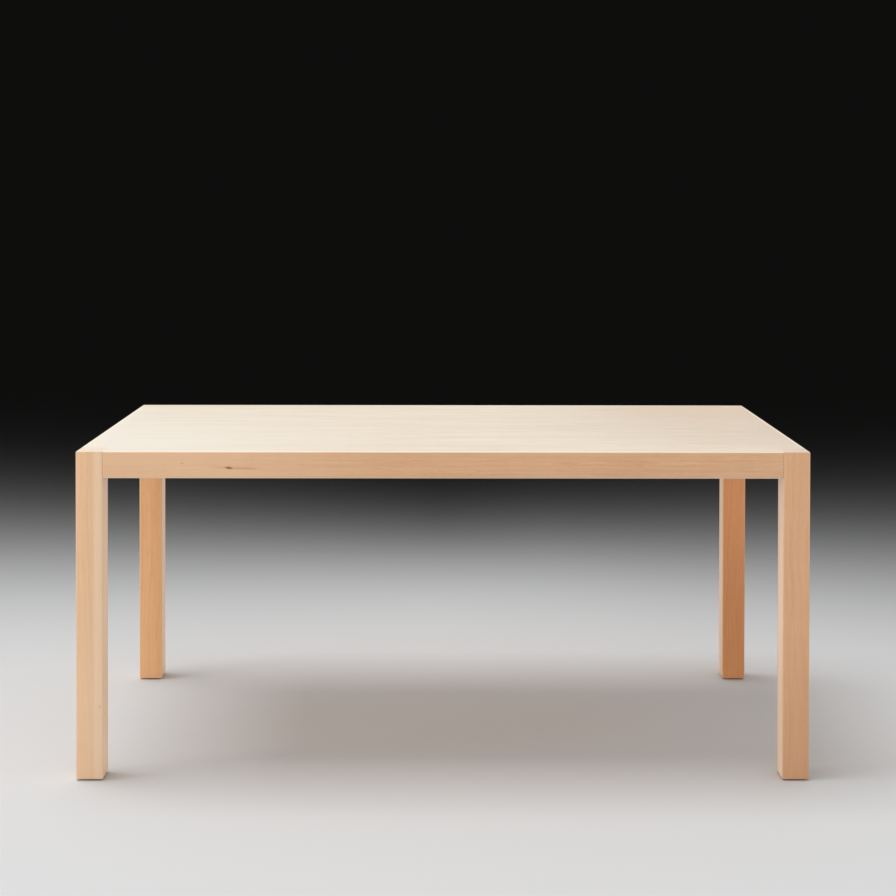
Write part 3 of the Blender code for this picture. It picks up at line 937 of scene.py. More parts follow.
def in_line(node: str, height: float = 0.0) -> Matrix:
    """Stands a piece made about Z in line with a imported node.

    Args:
        node: the node that it stands over, under or in.
        height: where its own zero comes above the floor.

    Returns:
        The matrix to the middle of the node's box, in plan.
    """
    low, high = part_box(node)
    middle = (low + high) / 2
    return Matrix.Translation((middle.x, middle.y, height))


class Slot(Enum):
    """The record's material slots."""

    TOP = "maple_top"
    EDGE = "maple_edge"
    LEG = "maple_leg"
    BATTEN = "beech_batten"
    STEEL = "zinc_steel"
    PLASTIC = "black_plastic"


class Dresser:
    """Gives dressed pieces their finish and body, and hides the node that each stands for."""

    def __init__(self, nodes: Mapping[str, bpy.types.Object]) -> None:
        """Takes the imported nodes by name."""
        self.nodes = nodes

    def dress(self, piece: Workpiece, finish: Material, slot: Slot, node: str) -> None:
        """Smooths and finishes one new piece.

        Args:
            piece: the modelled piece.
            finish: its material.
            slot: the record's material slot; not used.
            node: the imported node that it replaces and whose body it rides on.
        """
        piece.shade()
        piece.obj.data.materials.clear()
        piece.obj.data.materials.append(finish)
        body = self.nodes[node]["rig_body"]
        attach(piece.obj, body)
        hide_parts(node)
        LOG.info("%s stands for %s on %s", piece.obj.name, node, body)

    def refinish(self, node: str, finish: Material) -> None:
        """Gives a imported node, whose shape stays, its finish."""
        self.nodes[node].material_slots[0].material = finish
        LOG.info("%s keeps its shape, in %s", node, finish.name)


class Side(Enum):
    """The table's sides, each with its turn about Z in degrees and its boards' cut."""

    FRONT = ("front", 0, BoardCut.LONG_APRON)
    RIGHT = ("right", 90, BoardCut.END_APRON)
    REAR = ("rear", 180, BoardCut.LONG_APRON)
    LEFT = ("left", 270, BoardCut.END_APRON)

    def __init__(self, label: str, degrees: int, cut: BoardCut) -> None:
        """Names the parts of the side's value.

        Args:
            label: the side's name in the names of its pieces.
            degrees: its turn about Z.
            cut: how its apron's grain runs.
        """
        self.label = label
        self.degrees = degrees
        self.cut = cut

    def box(self) -> tuple[Vector, Vector]:
        """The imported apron's lowest and highest corners."""
        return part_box(self.label + "_apron")

    def half(self) -> float:
        """Half the length of the side's apron."""
        low, high = self.box()
        return max((high - low).xy) / 2

    def face(self) -> float:
        """Distance from the table's middle to the side's outer face."""
        low, high = self.box()
        return max(abs(corner[self.cut.value[2]]) for corner in (low, high))

    def matrix(self) -> Matrix:
        """From the side's frame, with X along it and Y inwards from its face, to the table's."""
        return Matrix.Rotation(math.radians(self.degrees), 4, "Z") @ Matrix.Translation((0, -self.face(), 0))


class Corner(Enum):
    """The table's corners, each with its turn about Z in degrees and the sides of its X and Y aprons."""

    FRONT_LEFT = ("front_left", 0, ("front", "left"))
    FRONT_RIGHT = ("front_right", 90, ("right", "front"))
    REAR_RIGHT = ("rear_right", 180, ("rear", "right"))
    REAR_LEFT = ("rear_left", 270, ("left", "rear"))

    def __init__(self, label: str, degrees: int, sides: tuple[str, str]) -> None:
        """Names the parts of the corner's value.

        Args:
            label: the corner's name in the names of its pieces.
            degrees: its turn about Z.
            sides: the sides that its X apron and its Y apron close.
        """
        self.label = label
        self.degrees = degrees
        self.sides = sides

    def matrix(self) -> Matrix:
        """From the corner's frame, on its leg's axis at the floor, to the table's."""
        return in_line(self.label + "_leg") @ Matrix.Rotation(math.radians(self.degrees), 4, "Z")


@dataclass(frozen=True)
class CornerLayout:
    """Where the pieces of a corner lie, in the corner's own frame."""

    leg_half: float = 0.029
    apron_thickness: float = 0.022
    gap: float = 0.0003
    seam: float = 0.00008
    hole_clearance: float = 0.0005
    strip: float = 0.002
    strip_height: float = 0.030
    strip_bend: float = 0.004
    flange: float = 0.030
    lip: float = 0.005
    web_clearance: float = 0.008
    middle: float = 0.680
    seat: float = 0.007
    screw_shank: float = 0.002

    @property
    def strip_low(self) -> float:
        """The bent strip's lower edge."""
        return self.middle - self.strip_height / 2

    @property
    def apron_inner(self) -> float:
        """The aprons' inner faces."""
        return self.apron_thickness - self.leg_half

    @property
    def flange_line(self) -> float:
        """The middle line of the flanges."""
        return self.apron_inner + self.gap + self.strip / 2

    @property
    def web_along(self) -> float:
        """Distance of the web's middle line out along the diagonal."""
        return self.leg_half * math.sqrt(2) + self.web_clearance + self.strip / 2

    @property
    def flange_start(self) -> float:
        """Where the web would meet a flange, without its bend."""
        return self.web_along * math.sqrt(2) - self.flange_line

    @property
    def lip_at(self) -> float:
        """The lips' middle line."""
        return self.flange_start + self.flange

    @property
    def screw_at(self) -> float:
        """The flange screws' axis."""
        return self.flange_start + self.flange / 2

    @property
    def seat_along(self) -> float:
        """The flat on the leg's inner corner."""
        return self.leg_half * math.sqrt(2) - self.seat

    def diagonal(self) -> Matrix:
        """Lays a piece made along Z on the corner's diagonal."""
        lie = Matrix.Rotation(EIGHTH_TURN, 4, "Z") @ Matrix.Rotation(QUARTER_TURN, 4, "Y")
        return Matrix.Translation((0, 0, self.middle)) @ lie

    def screw_matrices(self) -> tuple[Matrix, Matrix]:
        """Stand a screw on a flange, pointing into the apron.

        Returns:
            One matrix for the X flange and one for the Y flange.
        """
        seat = self.flange_line + self.strip / 2 + self.gap
        point_out = Matrix.Rotation(QUARTER_TURN, 4, "X")
        swung = Matrix.Rotation(-QUARTER_TURN, 4, "Z") @ point_out
        return (Matrix.Translation((self.screw_at, seat, self.middle)) @ point_out,
                Matrix.Translation((seat, self.screw_at, self.middle)) @ swung)


# Drifts of tone over the top. Deeper to the right and paler to the front left is a painted gradient of light
# falling from the left; the warm patches in the rear right corner are the wood's own tone
TOP_DRIFT_AND_PAINTED_LIGHT = (
    WoodMark((1.00, 0.15, 0.72), (1.00, 0.9, 0.3), (0.570, 0.443, 0.326), 0.85),
    WoodMark((0.66, 0.30, 0.72), (0.42, 0.24, 0.3), (0.600, 0.430, 0.285), 0.50, 0.4),
    WoodMark((0.70, 0.375, 0.72), (0.09, 0.02, 0.3), (0.600, 0.400, 0.260), 0.60, 0.4),
    WoodMark((-0.90, -0.40, 0.72), (0.90, 0.9, 0.3), (0.755, 0.712, 0.620), 0.65),
)
# A paler, greyer line along the lower edge of every apron
APRON_LOWER_LINE = WoodMark((0.0, 0.6620, 0.0), (5.0, 0.0050, 5.0), (0.640, 0.460, 0.330), 0.85, 0.0)
# The front apron's paler left end, which is painted light falling from the left, two warm flecks, the mineral
# streak with its tails and a small fleck
FRONT_MARKS_AND_PAINTED_LIGHT = (
    # Painted light: the paler left end
    WoodMark((-0.70, 0.690, -0.400), (0.62, 0.20, 0.10), (0.890, 0.585, 0.365), 0.55),
    WoodMark((-0.080, 0.6950, -0.400), (0.120, 0.0060, 0.010), (0.700, 0.360, 0.170), 0.40, 0.5),
    WoodMark((0.268, 0.6950, -0.400), (0.045, 0.0045, 0.010), (0.700, 0.360, 0.170), 0.70, 0.5),
    WoodMark((-0.487, 0.6860, -0.400), (0.028, 0.0040, 0.010), (0.640, 0.420, 0.175), 0.42, 0.4, -0.06),
    WoodMark((-0.440, 0.6840, -0.400), (0.054, 0.0042, 0.010), (0.520, 0.255, 0.090), 0.50, 0.4, -0.02),
    WoodMark((-0.467, 0.6848, -0.400), (0.0115, 0.0042, 0.010), (0.265, 0.122, 0.016), 0.90, 0.0, -0.10),
    WoodMark((-0.569, 0.6950, -0.400), (0.005, 0.0022, 0.008), (0.440, 0.205, 0.075), 0.45, 0.2),
)


@dataclass
class TopAndAprons:
    """The notched top and the four aprons, mitred together along splined edges."""

    dresser: Dresser
    layout: CornerLayout
    arris: float = 0.0012
    arris_steps: int = 4
    mitre_gap: float = 0.000057
    kerf_half: float = 0.0013
    kerf_depth: float = 0.0053
    pilot_radius: float = 0.0023
    cover: float = 0.0077
    tongue_width: float = 0.0126
    tongue_thickness: float = 0.0046
    tongue_stop: float = 0.0397

    def __post_init__(self) -> None:
        """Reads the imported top's box."""
        self.low, self.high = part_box("table_top")

    def build(self) -> None:
        """Models and dresses the top, the aprons and the tongues."""
        self._top()
        ply = PlyFinish().material()
        for side in Side:
            self._apron(side)
            self.dresser.refinish(side.label + "_spline", ply)

    def _groove(self, side: Side) -> Workpiece:
        """The room for a loose tongue.

        Args:
            side: the side whose mitre it runs along.

        Returns:
            The cutting tool, in the side's frame.
        """
        corner = Vector((side.half() - self.tongue_stop, self.tongue_width / 2, self.tongue_thickness / 2))
        tool = Workpiece.block("groove", -corner, corner)
        middle = self.layout.apron_thickness / 2
        slant = Matrix.Rotation(EIGHTH_TURN, 4, "X")
        return tool.move(Matrix.Translation((0, middle, self.high.z - middle)) @ slant)

    def _top(self) -> None:
        """The top: notched for the legs, arrises rounded, then mitred, grooved and drilled underneath."""
        low, high = self.low.z, self.high.z
        edge_x, edge_y = Side.RIGHT.face(), Side.FRONT.face()
        board = Workpiece.block("top_board", (-edge_x, -edge_y, low), (edge_x, edge_y, high))
        notch = 2 * self.layout.leg_half + self.layout.seam
        for x, y in product(BOTH_WAYS, repeat=2):
            inner = (x * (edge_x - notch), y * (edge_y - notch), low - RUNOUT)
            outer = (x * (edge_x + RUNOUT), y * (edge_y + RUNOUT), high + RUNOUT)
            tool = Workpiece.block("notch", tuple(map(min, inner, outer)), tuple(map(max, inner, outer)))
            board.combine(Meeting.CUT, tool)
        board.round_edges(lambda at: at.z > high - NEAR and
                          (abs(at.x) > edge_x - NEAR or abs(at.y) > edge_y - NEAR),
                          self.arris, self.arris_steps)
        for side in Side:
            turn = side.matrix()
            board.slice(turn @ Vector((0, 0, high + self.mitre_gap)), turn.to_3x3() @ Vector((0, -1, -1)))
            board.combine(Meeting.CUT, self._groove(side).move(turn))
        for name, end in product(BATTENS, BATTEN_ENDS):
            pilot = Workpiece.drum("pilot", self.pilot_radius, low - RUNOUT, high - self.cover, BORE_SIDES)
            board.combine(Meeting.CUT, pilot.move(in_line(f"{name}_batten_screw_{end}")))
        # The top's pale line along its arrises is a painted highlight as well as wear
        finish = WoodFinish("oiled_maple_top", BoardCut.TOP, pale=(0.735, 0.650, 0.535),
                            deep=(0.625, 0.495, 0.360), seed=1.0, pith=(0.14, -0.32), band_length=0.32,
                            band_width=0.034, band_rough=0.72, band_depth=1.50, fibre_depth=0.80,
                            underside_tint_and_painted_shade=(1.20, 0.79, 0.48), worn_and_highlight=0.95, worn_and_highlight_width=0.009,
                            worn_and_highlight_tone=(0.930, 0.778, 0.622), marks=TOP_DRIFT_AND_PAINTED_LIGHT)
        self.dresser.dress(board, finish.material(self.low, self.high), Slot.TOP, "table_top")

    def _apron(self, side: Side) -> None:
        """Models one apron in its side's frame, then sets it in place.

        Args:
            side: the apron's side.
        """
        lay = self.layout
        low, high = side.box()
        thick, top = lay.apron_thickness, self.high.z
        snug = side.half() + lay.gap - lay.seam
        board = Workpiece.block(side.label + "_apron_board", (-snug, 0, low.z), (snug, thick, top))
        board.round_edges(lambda at: at.z < low.z + NEAR or (at.z > top - NEAR and at.y < NEAR),
                          self.arris, self.arris_steps)
        board.slice((0, 0, top - self.mitre_gap), (0, 1, 1))
        board.combine(Meeting.CUT, self._groove(side))
        leg_axis = side.half() + lay.gap + lay.leg_half
        for end in BOTH_WAYS:
            lip = end * (leg_axis - lay.lip_at)
            kerf = Workpiece.block("kerf", (lip - self.kerf_half, thick - self.kerf_depth, low.z - RUNOUT),
                                   (lip + self.kerf_half, thick + RUNOUT,
                                    lay.middle + lay.strip_height / 2 + lay.gap))
            pilot = Workpiece.drum("pilot", self.pilot_radius, self.cover, thick + RUNOUT, BORE_SIDES)
            stand = Matrix.Translation((end * (leg_axis - lay.screw_at), 0, lay.middle))
            pilot.move(stand @ Matrix.Rotation(-QUARTER_TURN, 4, "X"))
            board.combine(Meeting.CUT, kerf, pilot)
        board.move(side.matrix())
        finish = WoodFinish(f"oiled_maple_{side.label}_apron", side.cut, pale=(0.843, 0.513, 0.299),
                            deep=(0.657, 0.347, 0.171), seed=2.0 + side.degrees / 40, pith=(0.05, -0.06),
                            band_length=0.22, band_width=0.024, band_depth=1.0, fibre_depth=0.75, worn_and_highlight=0.95,
                            worn_and_highlight_width=0.0025, worn_and_highlight_ends=False,
                            marks=(APRON_LOWER_LINE, *(FRONT_MARKS_AND_PAINTED_LIGHT if side is Side.FRONT else ())))
        self.dresser.dress(board, finish.material(low, high), Slot.EDGE, side.label + "_apron")


@dataclass(frozen=True)
class LegLook:
    """The tones of one leg's wood, of its end grain, and its marks, with painted light and shade among them.
    """

    pale: Colour
    deep: Colour
    end: Colour
    marks: tuple[WoodMark, ...]


# The legs' tones differ from board to board and carry painted light: the left legs and their end grain are
# paler and the right ones deeper, as light falls from the left
LEG_TONES_AND_PAINTED_LIGHT = {
    Corner.FRONT_LEFT: LegLook((0.912, 0.594, 0.361), (0.743, 0.432, 0.226), (0.735, 0.645, 0.530), (
        # Painted light towards the foot, a paler strip and a fleck in front, and painted light on the inner
        # face
        WoodMark((0.05, -0.7710, -0.400), (0.45, 0.20, 0.20), (0.930, 0.650, 0.430), 0.45),
        WoodMark((0.36, -0.7525, -0.400), (2.0, 0.014, 0.025), (0.940, 0.670, 0.450), 0.85),
        WoodMark((0.162, -0.7483, -0.400), (0.006, 0.0016, 0.008), (0.36, 0.19, 0.09), 0.55),
        WoodMark((0.36, -0.7420, -0.371), (3.0, 0.006, 0.036), (0.950, 0.680, 0.440), 0.50),
    )),
    Corner.FRONT_RIGHT: LegLook((0.829, 0.482, 0.273), (0.663, 0.337, 0.167), (0.640, 0.530, 0.415), (
        # Painted shade towards the foot, and painted light on the inner face
        WoodMark((0.05, 0.7710, -0.400), (0.30, 0.20, 0.20), (0.650, 0.330, 0.160), 0.50),
        WoodMark((0.36, 0.7420, -0.371), (3.0, 0.007, 0.036), (0.790, 0.640, 0.470), 0.80),
    )),
    Corner.REAR_RIGHT: LegLook((0.845, 0.475, 0.255), (0.660, 0.325, 0.150), (0.620, 0.505, 0.385), (
        # Painted shade: a warmer front face under the top and a darker foot; painted light on the inner face
        WoodMark((0.36, 0.7710, 0.342), (5.0, 0.20, 0.012), (1.040, 0.850, 0.645), 1.0, 0.0,
                 blend=Blend.TINT),
        WoodMark((0.10, 0.7710, 0.342), (0.40, 0.20, 0.02), (0.560, 0.230, 0.085), 0.50),
        WoodMark((0.36, 0.7420, 0.371), (3.0, 0.006, 0.036), (0.545, 0.425, 0.280), 0.75),
    )),
    Corner.REAR_LEFT: LegLook((0.890, 0.560, 0.325), (0.715, 0.405, 0.205), (0.725, 0.625, 0.505), (
        # Painted shade: a warmer front face under the top; painted light on the inner face
        WoodMark((0.36, -0.7710, 0.342), (5.0, 0.20, 0.012), (1.020, 0.925, 0.785), 1.0, 0.0,
                 blend=Blend.TINT),
        WoodMark((0.36, -0.7420, 0.371), (3.0, 0.006, 0.036), (0.810, 0.575, 0.352), 0.50),
    )),
}


@dataclass
class Legs:
    """The four legs, with eased arrises, a seat for the bolt and a recess for the glide."""

    dresser: Dresser
    layout: CornerLayout
    arris: float = 0.0012
    foot_round: float = 0.0022
    steps: int = 4
    bolt_bore: float = 0.0043
    bolt_tip: float = -0.0044
    recess_radius: float = 0.01675
    recess_top: float = 0.008
    insert_bore: float = 0.0066
    insert_top: float = 0.0263
    stud_bore: float = 0.0043
    stud_top: float = 0.037
    bore_sides: int = 64
    # The legs' arrises: a greyer line of wear and painted highlight
    worn_and_highlight_shade: Colour = (0.84, 1.00, 1.20)
    # Painted shade: a brown tint on the downward faces of each foot, for the shadow under it
    sole_painted_shade: Colour = (0.95, 0.62, 0.38)

    def build(self) -> None:
        """Models one leg and sets a copy in each corner."""
        pattern = self._pattern()
        for corner in Corner:
            leg = pattern.copy(corner.label + "_eased_leg", corner.matrix())
            finish = self._finish(corner).material(*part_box(corner.label + "_leg"))
            self.dresser.dress(leg, finish, Slot.LEG, corner.label + "_leg")
        pattern.discard()

    def _pattern(self) -> Workpiece:
        """Models one leg.

        Returns:
            The leg, in its corner's frame.
        """
        half = self.layout.leg_half
        low, high = (corner.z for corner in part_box(Corner.FRONT_LEFT.label + "_leg"))
        leg = Workpiece.block("leg_pattern", (-half, -half, low), (half, half, high))
        leg.round_edges(lambda at: at.z < low + NEAR, self.foot_round, self.steps)
        for x, y in product(BOTH_WAYS, repeat=2):
            leg.round_edges(lambda at: at.x * x > 0 and abs(at.x * x - at.y * y) < NEAR,
                            self.arris, self.steps)
        outer = self.arris * 2 - half
        leg.round_edges(lambda at: at.z > high - NEAR and (at.x < outer or at.y < outer),
                        self.arris, self.steps)
        outside = half + RUNOUT
        across = self.layout.seat_along * math.sqrt(2) - outside
        floor = self.layout.strip_low
        seat = Workpiece.line("seat", [(outside, across, floor), (outside, outside, floor),
                                       (across, outside, floor)], closed=True)
        with seat.editing():
            bpy.ops.mesh.edge_face_add()
        seat.raise_up(self.layout.strip_height)
        seat.clean()
        bore = Workpiece.drum("bolt_bore", self.bolt_bore, self.bolt_tip, self.layout.web_along, BORE_SIDES)
        foot = Workpiece.turned("glide_bore", [
            (0, low - RUNOUT), (self.recess_radius, low - RUNOUT), (self.recess_radius, self.recess_top),
            (self.insert_bore, self.recess_top), (self.insert_bore, self.insert_top),
            (self.stud_bore, self.insert_top), (self.stud_bore, self.stud_top), (0, self.stud_top)],
            self.bore_sides)
        leg.combine(Meeting.CUT, seat, bore.move(self.layout.diagonal()), foot)
        return leg

    def _finish(self, corner: Corner) -> WoodFinish:
        """The finish of one leg, in its own tones and with its own marks.

        Args:
            corner: the leg's corner.

        Returns:
            The finish.
        """
        look = LEG_TONES_AND_PAINTED_LIGHT[corner]
        worn_and_highlight = tuple(part * share for part, share in zip(look.pale, self.worn_and_highlight_shade))
        return WoodFinish(f"oiled_maple_{corner.label}_leg", BoardCut.LEG, pale=look.pale, deep=look.deep,
                          seed=5.0 + corner.degrees / 30, pith=(0.03, 0.05), ring_pitch=0.005,
                          fibre_depth=0.70, end_tone=look.end, underside_tint_and_painted_shade=self.sole_painted_shade, worn_and_highlight=0.45,
                          worn_and_highlight_width=0.004, worn_and_highlight_tone=worn_and_highlight, marks=look.marks)


@dataclass
class Battens:
    """The battens under the top, eased along their lower edges and drilled for their screws."""

    dresser: Dresser
    ease: float = 0.003
    steps: int = 4
    hole: float = 0.0025

    def build(self) -> None:
        """Models each batten at its place."""
        for index, name in enumerate(BATTENS):
            node = name + "_batten"
            low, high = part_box(node)
            board = Workpiece.block(name + "_underside_batten", low, high)
            for x in (low.x, high.x):
                board.round_edges(lambda at: at.z < low.z + NEAR and abs(at.x - x) < NEAR,
                                  self.ease, self.steps)
            for end in BATTEN_ENDS:
                drill = Workpiece.drum("drill", self.hole, low.z - RUNOUT, high.z + RUNOUT, BORE_SIDES)
                board.combine(Meeting.CUT, drill.move(in_line(f"{node}_screw_{end}")))
            finish = WoodFinish(f"sawn_beech_{node}", BoardCut.BATTEN, pale=(0.660, 0.430, 0.270),
                                deep=(0.500, 0.295, 0.165), seed=11.0 + index, fleck_depth=0.8,
                                underside_tint_and_painted_shade=(1.0, 1.0, 1.0), end_tone=(0.50, 0.31, 0.18), roughness=0.58,
                                worn_and_highlight=0.15)
            self.dresser.dress(board, finish.material(low, high), Slot.BATTEN, node)


@dataclass
class WoodScrews:
    """Pan-head screws with a cross recess: up through the battens and out through the brackets."""

    dresser: Dresser
    layout: CornerLayout
    steel: Material
    head_radius: float = 0.004
    head_height: float = 0.0025
    head_wall: float = 0.0007
    core: float = 0.00135
    thread_root: float = 0.96
    thread_steps: int = 20
    pitch: float = 0.0017
    plain: float = 0.0040
    point: float = 0.004
    recess_half: float = 0.0022
    recess_width: float = 0.0009
    recess_depth: float = 0.0015
    recess_taper: float = 0.55
    sides: int = 32

    def build(self) -> None:
        """Models a long and a short screw and sets the copies."""
        low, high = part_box("left_batten_screw_front")
        long_screw = self._pattern("long_screw", high.z - low.z - self.head_height)
        for name, end in product(BATTENS, BATTEN_ENDS):
            node = f"{name}_batten_screw_{end}"
            place = in_line(node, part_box(node)[0].z + self.head_height)
            screw = long_screw.copy(f"{name}_{end}_pan_screw", place)
            self.dresser.dress(screw, self.steel, Slot.STEEL, node)
        long_screw.discard()
        low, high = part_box("front_left_bracket_screw_front")
        short_screw = self._pattern("short_screw", high.y - low.y - self.head_height)
        for corner in Corner:
            for matrix, side in zip(self.layout.screw_matrices(), corner.sides):
                screw = short_screw.copy(f"{corner.label}_{side}_flange_screw", corner.matrix() @ matrix)
                self.dresser.dress(screw, self.steel, Slot.STEEL, f"{corner.label}_bracket_screw_{side}")
        short_screw.discard()

    def _pattern(self, name: str, reach: float) -> Workpiece:
        """Models one screw.

        Args:
            name: the pattern's name.
            reach: from the seat under its head to its point.

        Returns:
            The screw along +Z, seated at zero.
        """
        shank = self.layout.screw_shank
        rise = self.head_height - self.head_wall
        dome = [(self.head_radius * sine, -self.head_wall - rise * cosine) for sine, cosine in quarter_arc()]
        screw = Workpiece.turned(name, [
            *dome, (self.head_radius, 0), (shank, 0), (shank, self.plain), (self.core, self.plain),
            (self.core, reach - self.point), (0, reach)], self.sides)
        spiral = Workpiece.thread("screw_thread", self.core * self.thread_root, shank, self.pitch,
                                  self.plain - self.pitch / 3, reach - self.point, self.thread_steps)
        screw.combine(Meeting.JOIN, spiral)
        arm = (self.recess_half, self.recess_width / 2)
        for wide, deep in (arm, arm[::-1]):
            slot = Workpiece.block("recess", (-wide, -deep, -self.head_height - self.head_wall),
                                   (wide, deep, self.recess_depth - self.head_height))
            with slot.editing():
                slot.pick(Pick.FACES, lambda at: at.z > -self.head_height)
                bpy.ops.transform.resize(value=(self.recess_taper, self.recess_taper, 1.0),
                                         center_override=(0, 0, 0))
            screw.combine(Meeting.CUT, slot)
        return screw


@dataclass
class LegFixings:
    """The bracket, hanger bolt, washer and nut that draw each leg into its corner."""

    dresser: Dresser
    layout: CornerLayout
    steel: Material
    bolt_radius: float = 0.004
    bolt_bite: float = 0.038
    bolt_point: float = 0.005
    bolt_tail: float = 0.005
    collar: float = 0.98
    wood_core: float = 0.0029
    wood_root: float = 0.97
    wood_pitch: float = 0.0032
    metal_core: float = 0.00335
    metal_root: float = 0.98
    metal_pitch: float = 0.00125
    thread_steps: int = 32
    washer_radius: float = 0.008
    washer_thickness: float = 0.0016
    washer_edge: float = 0.0003
    nut_width: float = 0.013
    nut_height: float = 0.0065
    nut_face: float = 0.97
    nut_slope: float = math.radians(30)
    barrel_spare: float = 1.02
    slope_spare: float = 1.1
    strip_edge: float = 0.0003
    strip_edge_steps: int = 2
    strip_edge_angle: float = math.radians(60)
    bend_steps: int = 8
    sides: int = 48

    def build(self) -> None:
        """Models each piece once and sets a copy in every corner."""
        lean = self.layout.diagonal()
        patterns = {
            "bracket": ("corner_plate", self._bracket(), Matrix.Identity(4)),
            "hanger_bolt": ("leg_bolt", self._bolt(), lean),
            "washer": ("bolt_washer", self._washer(), lean),
            "nut": ("bolt_nut", self._nut(), lean),
        }
        for node, (name, pattern, stance) in patterns.items():
            for corner in Corner:
                piece = pattern.copy(f"{corner.label}_{name}", corner.matrix() @ stance)
                self.dresser.dress(piece, self.steel, Slot.STEEL, f"{corner.label}_{node}")
            pattern.discard()

    def _seats(self) -> Point:
        """Finds where the fixings lie along the diagonal.

        Returns:
            The near faces of the washer and the nut, and the bolt's end.
        """
        washer = self.layout.web_along + self.layout.strip / 2 + self.layout.gap
        nut = washer + self.washer_thickness + self.layout.gap
        return washer, nut, nut + self.nut_height + self.bolt_tail

    def _bend(self, before: Vector, corner: Vector, after: Vector) -> list[Vector]:
        """Rounds one corner of the bent strip.

        Args:
            before: the strip's last point before the corner.
            corner: where it would turn without a bend.
            after: its next point after the corner.

        Returns:
            Points of the arc.
        """
        into = (corner - before).normalized()
        out = (after - corner).normalized()
        turn = into.angle(out)
        start = corner - into * self.layout.strip_bend * math.tan(turn / 2)
        centre = corner + (out - into).normalized() * self.layout.strip_bend / math.cos(turn / 2)
        swing = math.copysign(turn, into.x * out.y - into.y * out.x) / self.bend_steps
        steps = range(self.bend_steps + 1)
        return [centre + Matrix.Rotation(swing * step, 2) @ (start - centre) for step in steps]

    def _bracket(self) -> Workpiece:
        """Models the bent strip: drawn in plan, pulled up to its height, thickened and drilled.

        Returns:
            The bracket, in its corner's frame.
        """
        lay = self.layout
        lip = Vector((lay.lip_at, lay.apron_inner - lay.lip))
        hook = Vector((lay.lip_at, lay.flange_line))
        web = Vector((lay.flange_start, lay.flange_line))
        half = [lip, hook, *self._bend(hook, web, web.yx)]
        plan = half + [point.yx for point in reversed(half)]
        plate = Workpiece.line("corner_plate", [(point.x, point.y, lay.strip_low) for point in plan])
        plate.raise_up(lay.strip_height)
        plate.modify("SOLIDIFY", thickness=lay.strip, offset=0.0, use_even_offset=True)
        plate.clean()
        plate.modify("BEVEL", width=self.strip_edge, segments=self.strip_edge_steps, limit_method="ANGLE",
                     angle_limit=self.strip_edge_angle)
        bolt = Workpiece.drum("bolt_hole", self.bolt_radius + lay.hole_clearance,
                              lay.web_along - lay.strip, lay.web_along + lay.strip, self.sides)
        plate.combine(Meeting.CUT, bolt.move(lay.diagonal()))
        for matrix in lay.screw_matrices():
            hole = Workpiece.drum("screw_hole", lay.screw_shank + lay.hole_clearance, -lay.strip,
                                  2 * lay.strip, self.sides)
            plate.combine(Meeting.CUT, hole.move(matrix))
        return plate

    def _bolt(self) -> Workpiece:
        """Models the hanger bolt: a coarse thread in the leg and a fine one for the nut.

        Returns:
            The bolt along Z.
        """
        seat = self.layout.seat_along
        tip = seat - self.bolt_bite
        end = self._seats()[2]
        edge = self.bolt_radius - self.metal_core
        collar = self.bolt_radius * self.collar
        collar_end = seat + self.metal_pitch
        bolt = Workpiece.turned("leg_bolt", [
            (0, tip), (self.wood_core, tip + self.bolt_point), (self.wood_core, seat - edge), (collar, seat),
            (collar, collar_end), (self.metal_core, collar_end + edge), (self.metal_core, end), (0, end)],
            self.sides)
        coarse = Workpiece.thread("wood_thread", self.wood_core * self.wood_root, self.bolt_radius,
                                  self.wood_pitch, tip + self.bolt_point, seat - self.metal_pitch,
                                  self.thread_steps)
        fine = Workpiece.thread("metal_thread", self.metal_core * self.metal_root, self.bolt_radius,
                                self.metal_pitch, collar_end, end - edge, self.thread_steps)
        bolt.combine(Meeting.JOIN, coarse, fine)
        return bolt

    def _washer(self) -> Workpiece:
        """Models the washer, with its stamped edges broken.

        Returns:
            The washer, flat across Z.
        """
        low = self._seats()[0]
        high = low + self.washer_thickness
        bore = self.bolt_radius + self.layout.hole_clearance
        edge = self.washer_edge
        rim = self.washer_radius
        return Workpiece.turned("bolt_washer", [
            (bore, low + edge), (bore + edge, low), (rim - edge, low), (rim, low + edge), (rim, high - edge),
            (rim - edge, high), (bore + edge, high), (bore, high - edge)], self.sides, closed=True)

    def _nut(self) -> Workpiece:
        """Models the hexagon nut, its corners turned down at both ends and its bore countersunk.

        Returns:
            The nut, flat across Z.
        """
        low = self._seats()[1]
        high = low + self.nut_height
        corner = self.nut_width / math.sqrt(3)
        flat = self.nut_width / 2 * self.nut_face
        drop = (corner - flat) * math.tan(self.nut_slope) * self.slope_spare
        rim = corner * self.barrel_spare
        nut = Workpiece.drum("bolt_nut", corner, low, high, HEXAGON_SIDES)
        barrel = Workpiece.turned("nut_barrel", [
            (0, low), (flat, low), (rim, low + drop), (rim, high - drop), (flat, high), (0, high)],
            self.sides)
        nut.combine(Meeting.SHARE, barrel)
        bore = self.bolt_radius + self.layout.gap
        sink = self.metal_pitch / 2
        hole = Workpiece.turned("nut_bore", [
            (0, low - sink), (bore + 2 * sink, low - sink), (bore, low + sink), (bore, high - sink),
            (bore + 2 * sink, high + sink), (0, high + sink)], self.sides)
        nut.combine(Meeting.CUT, hole)
        return nut


